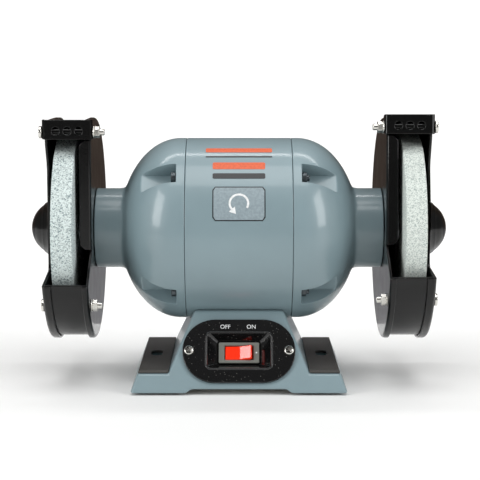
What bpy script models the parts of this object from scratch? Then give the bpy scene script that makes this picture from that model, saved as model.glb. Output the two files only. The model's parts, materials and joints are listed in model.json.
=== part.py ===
"""Bench grinder: a motor with a wheel at each end, on a hollow pedestal base with a rocker switch.

Metres, +Z up. The front faces -Y, the shaft runs along X, and Z = 0 is the bench. Distances
called "out" are measured along the shaft, away from the middle. Distances called "ahead" are
measured towards the front, away from the shaft axis.
"""

import math

import bmesh
import bpy
from mathutils import Matrix, Vector

# Fits
FIT = 0.0003                    # gap between pieces that touch or are pressed together
RUNNING_CLEARANCE = 0.0005      # rotor to stator, and other turning pieces
HOLE_CLEARANCE = 0.0003         # around the shank of a screw or bolt
CUT_OVER = 0.002                # how far a cutter runs past the face that it opens

# Round pieces
FINE_STEPS = 32
STEPS = 18
SMALL_STEPS = 8

# Motor
SHELL_RADIUS = 0.0714
SADDLE_HEIGHT = 0.0486          # lowest point of the motor shell above the bench
AXIS_HEIGHT = SADDLE_HEIGHT + SHELL_RADIUS
SHELL_HALF_LENGTH = 0.041
SHELL_WALL = 0.004
BELL_STRAIGHT = 0.005           # straight rim of an end bell before it starts to curve in
BELL_DEPTH = 0.049              # half axis of the bell's ellipse along the shaft
BELL_WALL = 0.004
NECK_RADIUS = 0.0315
NECK_LENGTH = 0.0177            # from where the bell's ellipse would close to the neck's end
NECK_END = SHELL_HALF_LENGTH + BELL_STRAIGHT + BELL_DEPTH + NECK_LENGTH
NECK_WALL = 0.004
NECK_FILLET = 0.004
BELL_CURVE_POINTS = 6

# Tie bolts, one in each of four pockets
TIE_INSET = 0.0070              # bolt centre to the outside of the shell
TIE_CIRCLE = SHELL_RADIUS - TIE_INSET
TIE_ANGLE = 42.5                # degrees above and below the horizontal
TIE_RADIUS = 0.0025
TIE_HEAD_RADIUS = 0.0045
TIE_HEAD_LENGTH = 0.0036
POCKET_WALL_END = 0.048         # outer face of the wall that the bolt head presses on
POCKET_WIDTH = 0.0165
POCKET_DEPTH = 0.0144
POCKET_FLOOR = SHELL_RADIUS - POCKET_DEPTH
POCKET_LINING = 0.0025

# Bearings, 15 x 35 x 11 mm, with a conical spring washer behind the right one
BEARING_BORE = 0.0075
BEARING_RADIUS = 0.0175
BEARING_WIDTH = 0.011
BEARING_RING = 0.0030
BEARING_WALL = 0.0045           # boss around the outer ring
CAGE_HALF_WIDTH = 0.0028
CAGE_HALF_THICKNESS = 0.0012
SPRING_WIDTH = 0.0030
SPRING_THICKNESS = 0.0006
SPRING_RISE = 0.0008
END_WALL = 0.004

# Shaft, rotor and stator
SHAFT_RADIUS = 0.0085
SPINDLE_RADIUS = 0.00635
SHOULDER_REACH = 0.0065         # spindle shoulder past the end of the neck
SPINDLE_SHOULDER = NECK_END + SHOULDER_REACH
SHAFT_CHAMFER = 0.0008
CORE_HALF_LENGTH = 0.025
ROTOR_INSET = 0.0334            # outside of the shell to the rotor
ROTOR_RADIUS = SHELL_RADIUS - ROTOR_INSET
END_RING_LENGTH = 0.006
END_RING_WIDTH = 0.011
WINDING_LENGTH = 0.0125
WINDING_WIDTH = 0.018
WINDING_INSET = 0.0035
NOTCH_RADIUS = 0.0031

# Wheels and what clamps them
WHEEL_RADIUS = 0.075
WHEEL_WIDTH = 0.016
WHEEL_STANDOFF = 0.0063         # spindle shoulder to the wheel
WHEEL_INNER_FACE = SPINDLE_SHOULDER + WHEEL_STANDOFF
FLANGE_RADIUS = 0.025
FLANGE_RIM = 0.004              # width of the ring that presses on the wheel
FLANGE_RELIEF = 0.0012
OUTER_FLANGE_THICKNESS = 0.0036
SPINDLE_NUT_FLATS = 0.019
SPINDLE_NUT_LENGTH = 0.0095
THREAD_PAST_SPINDLE_NUT = 0.0028

# Guards
GUARD_CLOCK = {"left": 0.0, "right": -4.8}  # how far each guard is turned about the shaft, degrees
GUARD_SHEET = 0.0018
GUARD_PLATE_FACE = NECK_END + FIT
GUARD_SIDE_ROOM = 0.0190        # wheel width to guard width
GUARD_WIDTH = WHEEL_WIDTH + GUARD_SIDE_ROOM
GUARD_RIM_ROOM = 0.0127         # wheel rim to the outside of the guard
LIP_RADIUS = WHEEL_RADIUS + GUARD_RIM_ROOM
LIP_CLEARANCE = 0.0006
PLATE_LIP = 0.0050
COVER_LIP = 0.0068
GUARD_ARC_END = -24.5           # degrees: where the band stops below the mouth
GUARD_FRONT = 0.0480            # how far ahead the side plates reach above the mouth
COVER_FRONT = 0.0360            # how far ahead the cover reaches beside the wheel
MOUTH_FLOOR = -0.0120           # height at which the inner plate's front edge turns outward
COVER_CUT_TOP = 0.0500
COVER_CUT_START = 0.0700
COVER_CUT_BOTTOM = -0.0290
RETURN_TOP = 0.0720             # upper end of the flange folded along the inner plate's edge
RETURN_WIDTH = 0.0090
RETURN_TIP = 0.0040
SHAFT_HOLE_RADIUS = 0.0120
ARC_STEP = 12.0                 # degrees between the points of a guard's outline
DOME_FLARE_RADIUS = 0.0340
DOME_EDGE_OUT = 0.0070          # the dome's ring edge, measured from the cover's face
DOME_RISE = 0.0176
DOME_SPHERE = 0.0215

# Guard bolts, M5, through both side plates
GUARD_BOLT_RADIUS = 0.0025
GUARD_BOLT_INSET = 0.0077       # bolt centre to the outside of the guard
GUARD_BOLT_CIRCLE = LIP_RADIUS - GUARD_BOLT_INSET
GUARD_BOLT_ANGLES = {"lower": -41.4, "rear": 183.0}
GUARD_BOLT_HEAD_RADIUS = 0.0047
GUARD_BOLT_HEAD_LENGTH = 0.0030
GUARD_NUT_FLATS = 0.0080
GUARD_NUT_LENGTH = 0.0040
WASHER_RADIUS = 0.0050
WASHER_THICKNESS = 0.0010
THREAD_PAST_NUT = 0.0035

# Spark deflectors
PIVOT_AHEAD = 0.0465
PIVOT_UP = LIP_RADIUS - 0.0093
DEFLECTOR_SHEET = 0.0015
DEFLECTOR_FRONT = 0.0510
DEFLECTOR_BACK = 0.0400
DEFLECTOR_TOP = LIP_RADIUS + FIT
DEFLECTOR_HEIGHT = 0.0150
DEFLECTOR_BOTTOM = DEFLECTOR_TOP - DEFLECTOR_HEIGHT
DEFLECTOR_HOLE_RADIUS = 0.0030
DEFLECTOR_HOLE_PITCH = 0.0088
DEFLECTOR_HOLE_UP = DEFLECTOR_TOP - 0.0085

# Base
BASE_BOTTOM = 0.0018
BASE_TOP = SADDLE_HEIGHT + 0.0114  # the tower's corners rise beside the shell
BASE_HALF_DEPTH = 0.0790        # at the bench
LEAN = 30.0                     # degrees that the front and back lean in
FOOT_HALF_WIDTH = 0.0835        # at the bench
FOOT_TOP_HALF_WIDTH = 0.0775
TOWER_FOOT_HALF_WIDTH = 0.0540
TOWER_TOP_HALF_WIDTH = 0.0343
BASE_WALL = 0.0030
SADDLE_WALL = 0.0040
RELIEF_HEIGHT = 0.0027
RELIEF_TOP_HALF_WIDTH = 0.0366
RELIEF_FOOT_HALF_WIDTH = 0.0398
BASE_BOLT_OUT = 0.0220
BASE_BOLT_RADIUS = 0.0030
BASE_BOLT_HEAD_RADIUS = 0.0050
BASE_BOLT_HEAD_LENGTH = 0.0040
WIRE_HOLE_RADIUS = 0.0060

# Pads on the feet, and the slots for bench bolts
PAD_TOP = 0.0180
PAD_THICKNESS = 0.0020
SLOT_OUT = 0.0662
SLOT_WIDTH = 0.0090
SLOT_LENGTH = 0.0200

# Bottom plate and rubber feet
BOTTOM_PLATE_THICKNESS = 0.0015
BOTTOM_PLATE_UNDERSIDE = 0.0048
RUBBER_OUT = 0.0660
RUBBER_AHEAD = 0.0520
RUBBER_RADIUS = 0.0070
RUBBER_STEM_RADIUS = 0.0025
RUBBER_STEM_TOP = 0.0110
POST_RADIUS = 0.0050

# Switch, measured on the leaning front panel
PANEL_HEIGHT = 0.0310
SWITCH_PLATE_WIDTH = 0.0866
SWITCH_PLATE_HEIGHT = 0.0510
SWITCH_PLATE_CORNER = 0.0250
SWITCH_PLATE_THICKNESS = 0.0020
ROCKER_LENGTH = 0.0206
ROCKER_HEIGHT = 0.0108
SWITCH_NECK_WIDTH = ROCKER_LENGTH + 0.0064
SWITCH_NECK_HEIGHT = ROCKER_HEIGHT + 0.0032
WELL_FLOOR_WIDTH = SWITCH_NECK_WIDTH + 0.0048
WELL_FLOOR_HEIGHT = SWITCH_NECK_HEIGHT + 0.0034
WELL_WIDTH = WELL_FLOOR_WIDTH + 0.0162
WELL_HEIGHT = WELL_FLOOR_HEIGHT + 0.0099
WELL_DEPTH = 0.0070
WELL_WALL = 0.0014
WELL_CLEARANCE = 0.0010
BEZEL_THICKNESS = 0.0018
SWITCH_DEPTH = 0.0230
SWITCH_WALL = 0.0016
ROCKER_CORNER_RISE = 0.0030
ROCKER_DISH = 0.0019            # how far the middle lies below the ends
ROCKER_DROP = 0.0045
ROCKER_TILT = 12.0
ROCKER_CLEARANCE = 0.0004
PLATE_SCREW_OUT = 0.0383
PLATE_SCREW_RADIUS = 0.0016
PLATE_SCREW_HEAD_RADIUS = 0.00365
PLATE_SCREW_HEAD_LENGTH = 0.0020
PLATE_SCREW_LENGTH = 0.0080

# Capacitor, its clamp, the terminal block and the cable gland
CAPACITOR_RADIUS = 0.0125
CAPACITOR_HALF_LENGTH = 0.0250
CAPACITOR_AHEAD = -0.0150
CAPACITOR_HEIGHT = 0.0290
CLAMP_HALF_WIDTH = 0.0070
CLAMP_SHEET = 0.0015
CLAMP_POST_HALF_DEPTH = 0.0060
TERMINAL_SIZE = (0.0300, 0.0120, 0.0110)
TERMINAL_AT = (-0.0200, -0.0440)  # along X, and ahead
GLAND_OUT = -0.0300
GLAND_HEIGHT = 0.0240
GLAND_RADIUS = 0.0062
GLAND_FLANGE_RADIUS = 0.0095
GLAND_FLANGE_THICKNESS = 0.0030
GLAND_BORE = 0.0036
GLAND_LENGTH = 0.0180

SIDES = {"left": -1, "right": 1}

# Worked out from the sizes above. The origin lies midway between the foremost and rearmost points.
TAN_LEAN = math.tan(math.radians(LEAN))
FOREMOST = LIP_RADIUS * math.cos(math.radians(GUARD_ARC_END - GUARD_CLOCK["right"]))
AXIS_Y = (max(FOREMOST, BASE_HALF_DEPTH) - max(LIP_RADIUS, BASE_HALF_DEPTH)) / 2
SHAFT_AXIS = Vector((0.0, AXIS_Y, AXIS_HEIGHT))
SEAT_END = NECK_END - END_WALL
COVER_FACE = GUARD_PLATE_FACE + GUARD_WIDTH
WHEEL_OUTER_FACE = WHEEL_INNER_FACE + WHEEL_WIDTH
FLANGE_OUTER_FACE = WHEEL_OUTER_FACE + FIT + OUTER_FLANGE_THICKNESS
SHAFT_END = FLANGE_OUTER_FACE + FIT + SPINDLE_NUT_LENGTH + THREAD_PAST_SPINDLE_NUT
FOOT_TOP = PAD_TOP - PAD_THICKNESS - FIT
BOTTOM_PLATE_TOP = BOTTOM_PLATE_UNDERSIDE + BOTTOM_PLATE_THICKNESS
BAND_RADIUS = LIP_RADIUS - GUARD_SHEET - LIP_CLEARANCE


# Scene and materials

def clear_scene():
    for item in list(bpy.data.objects):
        bpy.data.objects.remove(item, do_unlink=True)


def new_collection(name):
    collection = bpy.data.collections.new(name)
    bpy.context.scene.collection.children.link(collection)
    return collection


def linear(channel):
    value = channel / 255
    return value / 12.92 if value <= 0.04045 else ((value + 0.055) / 1.055) ** 2.4


def finish(name, colour, roughness, metallic=0.0):
    """A Principled material from an sRGB colour written as six hexadecimal digits."""
    material = bpy.data.materials.new(name)
    material.use_nodes = True
    shader = material.node_tree.nodes["Principled BSDF"]
    red, green, blue = (linear(int(colour[i:i + 2], 16)) for i in (0, 2, 4))
    shader.inputs["Base Color"].default_value = (red, green, blue, 1.0)
    shader.inputs["Roughness"].default_value = roughness
    shader.inputs["Metallic"].default_value = metallic
    return material


clear_scene()
PARTS = new_collection("bench_grinder")
CUTTERS = new_collection("cutters")
CUTTERS.hide_render = True

LOOKS = {
    "paint": finish("grey_blue_paint", "7D9197", 0.42),
    "guard": finish("black_enamel", "0B0B0C", 0.22),
    "dark_pad": finish("dark_plastic_pad", "42403D", 0.50),
    "gloss_plastic": finish("gloss_black_plastic", "0C0C0D", 0.15),
    "grey_plastic": finish("grey_switch_plastic", "6D6F69", 0.40),
    "red_plastic": finish("red_orange_plastic", "FF3A10", 0.30),
    "rubber": finish("black_rubber", "1B1B1B", 0.85),
    "zinc": finish("bright_zinc", "D8D6D0", 0.28, 1.0),
    "steel": finish("ground_steel", "A9ABAD", 0.30, 1.0),
    "lamination": finish("laminated_steel", "6F7072", 0.50, 1.0),
    "aluminium": finish("cast_aluminium", "B4B6B8", 0.45, 1.0),
    "copper": finish("enamelled_copper", "A5582A", 0.35, 1.0),
    "coarse_stone": finish("coarse_grinding_stone", "D3DEDC", 0.95),
    "fine_stone": finish("fine_grinding_stone", "D9E0DA", 0.95),
    "can": finish("capacitor_can", "C4C6C8", 0.35, 1.0),
    "nylon": finish("white_nylon", "D9D8D0", 0.55),
}


# Meshes and objects

def place(name, mesh, look=None, parent=None, location=(0, 0, 0), rotation=(0, 0, 0)):
    """Adds a mesh as a part or, with no look, as a cutter."""
    item = bpy.data.objects.new(name, mesh)
    item.parent = parent
    item.location = location
    item.rotation_euler = rotation
    if look:
        PARTS.objects.link(item)
        mesh.materials.append(LOOKS[look])
    else:
        CUTTERS.objects.link(item)
        item.hide_render = True
        item.display_type = "WIRE"
    return item


def frame(name, location, rotation=(0, 0, 0)):
    """An empty that holds the pieces of an assembly."""
    empty = bpy.data.objects.new(name, None)
    PARTS.objects.link(empty)
    empty.location = location
    empty.rotation_euler = rotation
    return empty


def to_mesh(bm, name):
    bmesh.ops.recalc_face_normals(bm, faces=bm.faces)
    mesh = bpy.data.meshes.new(name)
    bm.to_mesh(mesh)
    bm.free()
    return mesh


def box_mesh(low, high):
    bm = bmesh.new()
    middle = (Vector(low) + Vector(high)) / 2
    size = Vector(high) - Vector(low)
    bmesh.ops.create_cube(bm, size=1.0, matrix=Matrix.Translation(middle) @ Matrix.Diagonal((*size, 1)))
    return to_mesh(bm, "box")


def prism_mesh(radius, start, end, sides):
    """A round or many-sided bar along Z from start to end."""
    bm = bmesh.new()
    bmesh.ops.create_cone(
        bm,
        cap_ends=True,
        segments=sides,
        radius1=radius,
        radius2=radius,
        depth=end - start,
        matrix=Matrix.Translation((0, 0, (start + end) / 2)),
    )
    return to_mesh(bm, "prism")


def hexagon_mesh(across_flats, start, end):
    return prism_mesh(across_flats / math.sqrt(3), start, end, 6)


def tapered_block_mesh(sections):
    """A block through rectangles, each given as height, half width and half depth."""
    bm = bmesh.new()
    bmesh.ops.create_cube(bm, size=2.0)
    bottom, top = sections
    for vertex in bm.verts:
        height, half_width, half_depth = top if vertex.co.z > 0 else bottom
        vertex.co.x *= half_width
        vertex.co.y *= half_depth
        vertex.co.z = height
    return to_mesh(bm, "tapered_block")


def plate_mesh(outline, thickness):
    """A flat plate: the outline lies in XY and the thickness is centred on Z = 0."""
    curve = bpy.data.curves.new("outline", "CURVE")
    curve.dimensions = "2D"
    curve.fill_mode = "BOTH"
    curve.extrude = thickness / 2
    spline = curve.splines.new("POLY")
    spline.points.add(len(outline) - 1)
    spline.use_cyclic_u = True
    for point, (x, y) in zip(spline.points, outline):
        point.co = (x, y, 0, 1)
    item = bpy.data.objects.new("outline", curve)
    CUTTERS.objects.link(item)
    graph = bpy.context.evaluated_depsgraph_get()
    mesh = bpy.data.meshes.new_from_object(item.evaluated_get(graph))
    bpy.data.objects.remove(item, do_unlink=True)
    bm = bmesh.new()
    bm.from_mesh(mesh)
    bmesh.ops.remove_doubles(bm, verts=bm.verts, dist=0.00001)
    bpy.data.meshes.remove(mesh)
    return to_mesh(bm, "plate")


def arc(centre, radius, start, end, step):
    """Points on an arc, with the angles in degrees."""
    count = max(1, round(abs(end - start) / step))
    angles = [math.radians(start + (end - start) * i / count) for i in range(count + 1)]
    return [(centre[0] + radius * math.cos(a), centre[1] + radius * math.sin(a)) for a in angles]


def rounded_rectangle(width, height, corner, step=15.0):
    across = width / 2 - corner
    up = height / 2 - corner
    corners = ((across, up, 0), (-across, up, 90), (-across, -up, 180), (across, -up, 270))
    points = [Vector(point) for x, y, a in corners for point in arc((x, y), corner, a, a + 90, step)]
    return [a for a, b in zip(points, points[1:] + points[:1]) if (a - b).length > 0.00001]


def turned_mesh(profile):
    """The outline of (radius, height) points that turned() sweeps about Z."""
    loop = profile + profile[:1]
    clockwise = sum(a[0] * b[1] - b[0] * a[1] for a, b in zip(loop, loop[1:])) < 0
    points = profile if clockwise else profile[::-1]
    edges = [(i, i + 1) for i in range(len(points) - 1)]
    if points[0][0] > 0 or points[-1][0] > 0:
        edges.append((len(points) - 1, 0))
    mesh = bpy.data.meshes.new("profile")
    mesh.from_pydata([(radius, 0, height) for radius, height in points], edges, [])
    return mesh


def turned(name, profile, steps, look=None, **placing):
    item = place(name, turned_mesh(profile), look, **placing)
    screw = item.modifiers.new("turn", "SCREW")
    screw.steps = steps
    screw.render_steps = steps
    screw.use_merge_vertices = True
    screw.merge_threshold = 0.00001
    return item


def cut(item, tool, operation="DIFFERENCE"):
    change = item.modifiers.new(operation.lower(), "BOOLEAN")
    change.operation = operation
    change.object = tool


def join(item, tool):
    cut(item, tool, "UNION")


def thicken(item, thickness):
    shell = item.modifiers.new("sheet", "SOLIDIFY")
    shell.thickness = thickness
    shell.offset = 0.0
    shell.solidify_mode = "NON_MANIFOLD"
    shell.nonmanifold_thickness_mode = "CONSTRAINTS"


def outward(side):
    """The rotation that lays an object's Z along the shaft, pointing away from the middle."""
    return (0, math.radians(90) * SIDES[side], 0)


def tie_places():
    """Names and (Y, Z) places of the tie bolts about the shaft axis."""
    places = {}
    for depth_name, depth_sign in (("front", -1), ("rear", 1)):
        for height_name, height_sign in (("upper", 1), ("lower", -1)):
            angle = math.radians(TIE_ANGLE)
            y = depth_sign * TIE_CIRCLE * math.cos(angle)
            up = height_sign * TIE_CIRCLE * math.sin(angle)
            places[f"{height_name}_{depth_name}"] = (y, up)
    return places


# Motor housing

def bell_profile(wall, neck_radius, neck_end):
    """The bell's outer outline, or its inner one when a wall is given."""
    radius = SHELL_RADIUS - wall
    depth = BELL_DEPTH - wall
    start = SHELL_HALF_LENGTH + BELL_STRAIGHT
    meets_neck = math.degrees(math.acos((neck_radius + NECK_FILLET) / radius))
    profile = [(radius, SHELL_HALF_LENGTH + FIT / 2)]
    for i in range(BELL_CURVE_POINTS + 1):
        angle = math.radians(meets_neck * i / BELL_CURVE_POINTS)
        profile.append((radius * math.cos(angle), start + depth * math.sin(angle)))
    neck_start = profile[-1][1] + NECK_FILLET
    profile.append((neck_radius + NECK_FILLET * 0.3, neck_start - NECK_FILLET * 0.3))
    profile.append((neck_radius, neck_start + NECK_FILLET * 0.6))
    profile.append((neck_radius, neck_end))
    return profile


def pocket_block(name, inner_end, outer_end, width, floor, spot, side, **placing):
    """A radial block over a tie bolt, from the pocket's floor out past the bell."""
    y, up = spot
    reach = SHELL_RADIUS + CUT_OVER
    low = (floor, -width / 2, inner_end)
    high = (reach, width / 2, outer_end)
    item = place(name, box_mesh(low, high), **placing)
    local_x = -up if side == "right" else up
    item.matrix_local = (
        Matrix.Translation(placing["location"])
        @ Matrix.Rotation(math.radians(90) * SIDES[side], 4, "Y")
        @ Matrix.Rotation(math.atan2(y, local_x), 4, "Z")
    )
    return item


def end_bell(side):
    at = {"location": SHAFT_AXIS, "rotation": outward(side)}
    outer = bell_profile(0.0, NECK_RADIUS, NECK_END)
    solid = [(0.0, SHELL_HALF_LENGTH + FIT / 2)] + outer + [(0.0, NECK_END)]
    bell = turned(f"end_bell_{side}", solid, FINE_STEPS, "paint", **at)

    hollow = bell_profile(BELL_WALL, NECK_RADIUS - NECK_WALL, SEAT_END - BEARING_WIDTH - FIT)
    hollow[0] = (hollow[0][0], SHELL_HALF_LENGTH - CUT_OVER)
    boss = BEARING_RADIUS + BEARING_WALL
    boss_start = SEAT_END - BEARING_WIDTH - SPRING_RISE - SPRING_THICKNESS - FIT
    cavity_outline = [(0.0, SHELL_HALF_LENGTH - CUT_OVER)] + hollow[:-1]
    cavity_outline += [(NECK_RADIUS - NECK_WALL, SEAT_END), (boss, SEAT_END)]
    cavity_outline += [(boss, boss_start), (0.0, boss_start)]
    cavity = turned(f"cavity_{side}", cavity_outline, FINE_STEPS, **at)

    for name, spot in tie_places().items():
        tag = f"{side}_{name}"
        lining_start = SHELL_HALF_LENGTH - 2 * CUT_OVER
        lining_width = POCKET_WIDTH + 2 * POCKET_LINING
        lining_floor = POCKET_FLOOR - POCKET_LINING
        lining = pocket_block(
            f"lining_{tag}", lining_start, NECK_END, lining_width, lining_floor, spot, side, **at
        )
        cut(cavity, lining)
        pocket = pocket_block(
            f"pocket_{tag}", POCKET_WALL_END, NECK_END, POCKET_WIDTH, POCKET_FLOOR, spot, side, **at
        )
        cut(bell, pocket)
    cut(bell, cavity)

    for name, (y, up) in tie_places().items():
        start = SHELL_HALF_LENGTH - CUT_OVER
        end = POCKET_WALL_END + CUT_OVER
        hole = place(
            f"tie_hole_{side}_{name}",
            prism_mesh(TIE_RADIUS + HOLE_CLEARANCE, start, end, SMALL_STEPS),
            location=SHAFT_AXIS + Vector((0, y, up)),
            rotation=outward(side),
        )
        cut(bell, hole)

    seat_start = boss_start - CUT_OVER
    seat = turned(
        f"bearing_seat_{side}",
        [(0.0, seat_start), (BEARING_RADIUS, seat_start), (BEARING_RADIUS, SEAT_END), (0.0, SEAT_END)],
        STEPS,
        **at,
    )
    cut(bell, seat)
    shaft_hole = place(
        f"shaft_hole_{side}",
        prism_mesh(BEARING_BORE + 2 * RUNNING_CLEARANCE, SEAT_END - CUT_OVER, NECK_END + CUT_OVER, STEPS),
        **at,
    )
    cut(bell, shaft_hole)


def motor_shell():
    inner = SHELL_RADIUS - SHELL_WALL
    half = SHELL_HALF_LENGTH - FIT / 2
    outline = [(inner, -half), (inner, half), (SHELL_RADIUS, half), (SHELL_RADIUS, -half)]
    at = {"location": SHAFT_AXIS, "rotation": outward("right")}
    shell = turned("motor_shell", outline, FINE_STEPS, "paint", **at)
    for tool in saddle_holes("shell"):
        cut(shell, tool)


def saddle_holes(tag):
    """The bolt holes and the wire hole that pass up through the saddle and the motor shell."""
    bottom = AXIS_HEIGHT - SHELL_RADIUS - SADDLE_WALL - CUT_OVER
    top = AXIS_HEIGHT - SHELL_RADIUS + SHELL_WALL + CUT_OVER
    holes = []
    for side, sign in SIDES.items():
        mesh = prism_mesh(BASE_BOLT_RADIUS + HOLE_CLEARANCE, bottom, top, SMALL_STEPS)
        place_at = (sign * BASE_BOLT_OUT, AXIS_Y, 0)
        holes.append(place(f"base_bolt_hole_{tag}_{side}", mesh, location=place_at))
    wire = prism_mesh(WIRE_HOLE_RADIUS, bottom, top, SMALL_STEPS)
    holes.append(place(f"wire_hole_{tag}", wire, location=(0, AXIS_Y, 0)))
    return holes


def tie_bolt(name, y, up):
    """A bolt right through the motor: its head is in the left pocket and its nut in the right one."""
    seat = POCKET_WALL_END + FIT
    head_end = seat + TIE_HEAD_LENGTH
    outline = [
        (0.0, -head_end),
        (TIE_HEAD_RADIUS, -head_end),
        (TIE_HEAD_RADIUS, -seat),
        (TIE_RADIUS, -seat),
        (TIE_RADIUS, head_end + CUT_OVER),
        (0.0, head_end + CUT_OVER),
    ]
    at = {"location": SHAFT_AXIS + Vector((0, y, up)), "rotation": outward("right")}
    bolt = turned(f"tie_bolt_{name}", outline, SMALL_STEPS, "zinc", **at)
    nut = place(f"tie_nut_{name}", prism_mesh(TIE_HEAD_RADIUS, seat, head_end, 6), **at)
    join(bolt, nut)


# Stator, rotor and bearings

def stator():
    bore = ROTOR_RADIUS + RUNNING_CLEARANCE
    radius = SHELL_RADIUS - SHELL_WALL - FIT
    half = CORE_HALF_LENGTH
    at = {"location": SHAFT_AXIS, "rotation": outward("right")}
    ring = [(bore, -half), (bore, half), (radius, half), (radius, -half)]
    core = turned("stator_core", ring, FINE_STEPS, "lamination", **at)
    for name, (y, up) in tie_places().items():
        notch = place(
            f"stator_notch_{name}",
            prism_mesh(NOTCH_RADIUS, -half - CUT_OVER, half + CUT_OVER, SMALL_STEPS),
            location=SHAFT_AXIS + Vector((0, y, up)),
            rotation=outward("right"),
        )
        cut(core, notch)
    for side in SIDES:
        start = half + FIT
        end = start + WINDING_LENGTH
        low = bore + WINDING_INSET
        high = low + WINDING_WIDTH
        slope = WINDING_LENGTH / 3
        outline = [
            (low, start),
            (low, end - slope),
            (low + slope, end),
            (high - slope, end),
            (high, end - slope),
            (high, start),
        ]
        end_at = {"location": SHAFT_AXIS, "rotation": outward(side)}
        turned(f"stator_winding_{side}", outline, STEPS, "copper", **end_at)


def bearing_start(side):
    """Where a bearing starts: the left one sits on its shoulder, the right one on its spring washer."""
    spring = SPRING_RISE + SPRING_THICKNESS + FIT if side == "right" else 0.0
    return SEAT_END - FIT - spring - BEARING_WIDTH


def bearing(side):
    start = bearing_start(side)
    end = start + BEARING_WIDTH
    inner = BEARING_BORE + FIT
    outer = BEARING_RADIUS - FIT
    at = {"location": SHAFT_AXIS, "rotation": outward(side)}
    outer_ring = [(outer - BEARING_RING, start), (outer - BEARING_RING, end), (outer, end), (outer, start)]
    inner_ring = [(inner, start), (inner, end), (inner + BEARING_RING, end), (inner + BEARING_RING, start)]
    turned(f"bearing_outer_ring_{side}", outer_ring, STEPS, "steel", **at)
    turned(f"bearing_inner_ring_{side}", inner_ring, STEPS, "steel", **at)

    pitch = (inner + outer) / 2
    middle = (start + end) / 2
    low = pitch - CAGE_HALF_THICKNESS
    high = pitch + CAGE_HALF_THICKNESS
    near = middle - CAGE_HALF_WIDTH
    far = middle + CAGE_HALF_WIDTH
    turned(f"ball_cage_{side}", [(low, near), (low, far), (high, far), (high, near)], STEPS, "steel", **at)


def spring_washer():
    """A conical washer between the right bearing's outer ring and the end of its seat."""
    outer = BEARING_RADIUS - FIT
    inner = outer - SPRING_WIDTH
    far = SEAT_END - FIT
    near = far - SPRING_THICKNESS
    outline = [
        (inner, near - SPRING_RISE + FIT),
        (inner, far - SPRING_RISE + FIT),
        (outer, far),
        (outer, near),
    ]
    turned("spring_washer", outline, STEPS, "steel", location=SHAFT_AXIS, rotation=outward("right"))


def shaft_half(side):
    """Radius and place, from the middle out to one end."""
    shoulder = bearing_start(side) - FIT
    return [
        (SHAFT_RADIUS, shoulder),
        (BEARING_BORE, shoulder),
        (BEARING_BORE, SPINDLE_SHOULDER),
        (SPINDLE_RADIUS, SPINDLE_SHOULDER),
        (SPINDLE_RADIUS, SHAFT_END - SHAFT_CHAMFER),
        (SPINDLE_RADIUS - SHAFT_CHAMFER, SHAFT_END),
        (0.0, SHAFT_END),
    ]


def rotor():
    at = {"location": SHAFT_AXIS, "rotation": outward("right")}
    left = [(radius, -out) for radius, out in reversed(shaft_half("left"))]
    turned("shaft", left + shaft_half("right"), STEPS, "steel", **at)
    bore = SHAFT_RADIUS + FIT
    half = CORE_HALF_LENGTH
    ring_end = half + END_RING_LENGTH
    ring_inner = ROTOR_RADIUS - END_RING_WIDTH
    ring_outer = ROTOR_RADIUS - RUNNING_CLEARANCE
    outline = [
        (bore, -half),
        (bore, half),
        (ring_inner, half),
        (ring_inner, ring_end),
        (ring_outer, ring_end),
        (ROTOR_RADIUS, half),
        (ROTOR_RADIUS, -half),
        (ring_outer, -ring_end),
        (ring_inner, -ring_end),
        (ring_inner, -half),
    ]
    turned("rotor_core", outline, STEPS, "aluminium", **at)


# Wheels

def wheel(side):
    at = {"location": SHAFT_AXIS, "rotation": outward(side)}
    bore = SPINDLE_RADIUS + FIT
    inner = WHEEL_INNER_FACE
    outer = WHEEL_OUTER_FACE
    stone = "coarse_stone" if side == "left" else "fine_stone"
    outline = [(bore, inner), (bore, outer), (WHEEL_RADIUS, outer), (WHEEL_RADIUS, inner)]
    turned(f"grinding_wheel_{side}", outline, FINE_STEPS, stone, **at)

    rim = FLANGE_RADIUS - FLANGE_RIM
    face = inner - FIT
    back = SPINDLE_SHOULDER + FIT
    inner_flange = [
        (bore, back),
        (rim, back),
        (FLANGE_RADIUS, back + (face - back) / 2),
        (FLANGE_RADIUS, face),
        (rim, face),
        (rim, face - FLANGE_RELIEF),
        (bore, face - FLANGE_RELIEF),
    ]
    turned(f"inner_flange_{side}", inner_flange, STEPS, "steel", **at)
    face = outer + FIT
    outer_flange = [
        (bore, face + FLANGE_RELIEF),
        (rim, face + FLANGE_RELIEF),
        (rim, face),
        (FLANGE_RADIUS, face),
        (FLANGE_RADIUS, face + OUTER_FLANGE_THICKNESS / 2),
        (rim, FLANGE_OUTER_FACE),
        (bore, FLANGE_OUTER_FACE),
    ]
    turned(f"outer_flange_{side}", outer_flange, STEPS, "steel", **at)
    start = FLANGE_OUTER_FACE + FIT
    end = start + SPINDLE_NUT_LENGTH
    nut = place(f"spindle_nut_{side}", hexagon_mesh(SPINDLE_NUT_FLATS, start, end), "zinc", **at)
    bore_tool = prism_mesh(bore, start - CUT_OVER, end + CUT_OVER, STEPS)
    cut(nut, place(f"nut_bore_{side}", bore_tool, **at))


# Guards: all of a guard's pieces hang on one frame on the shaft axis, turned by its clock angle

def guard_arc(radius):
    """(ahead, up) points from the flat top, round the back and the bottom, to below the mouth."""
    return arc((0.0, 0.0), radius, 90.0, 360.0 + GUARD_ARC_END, ARC_STEP)


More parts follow.
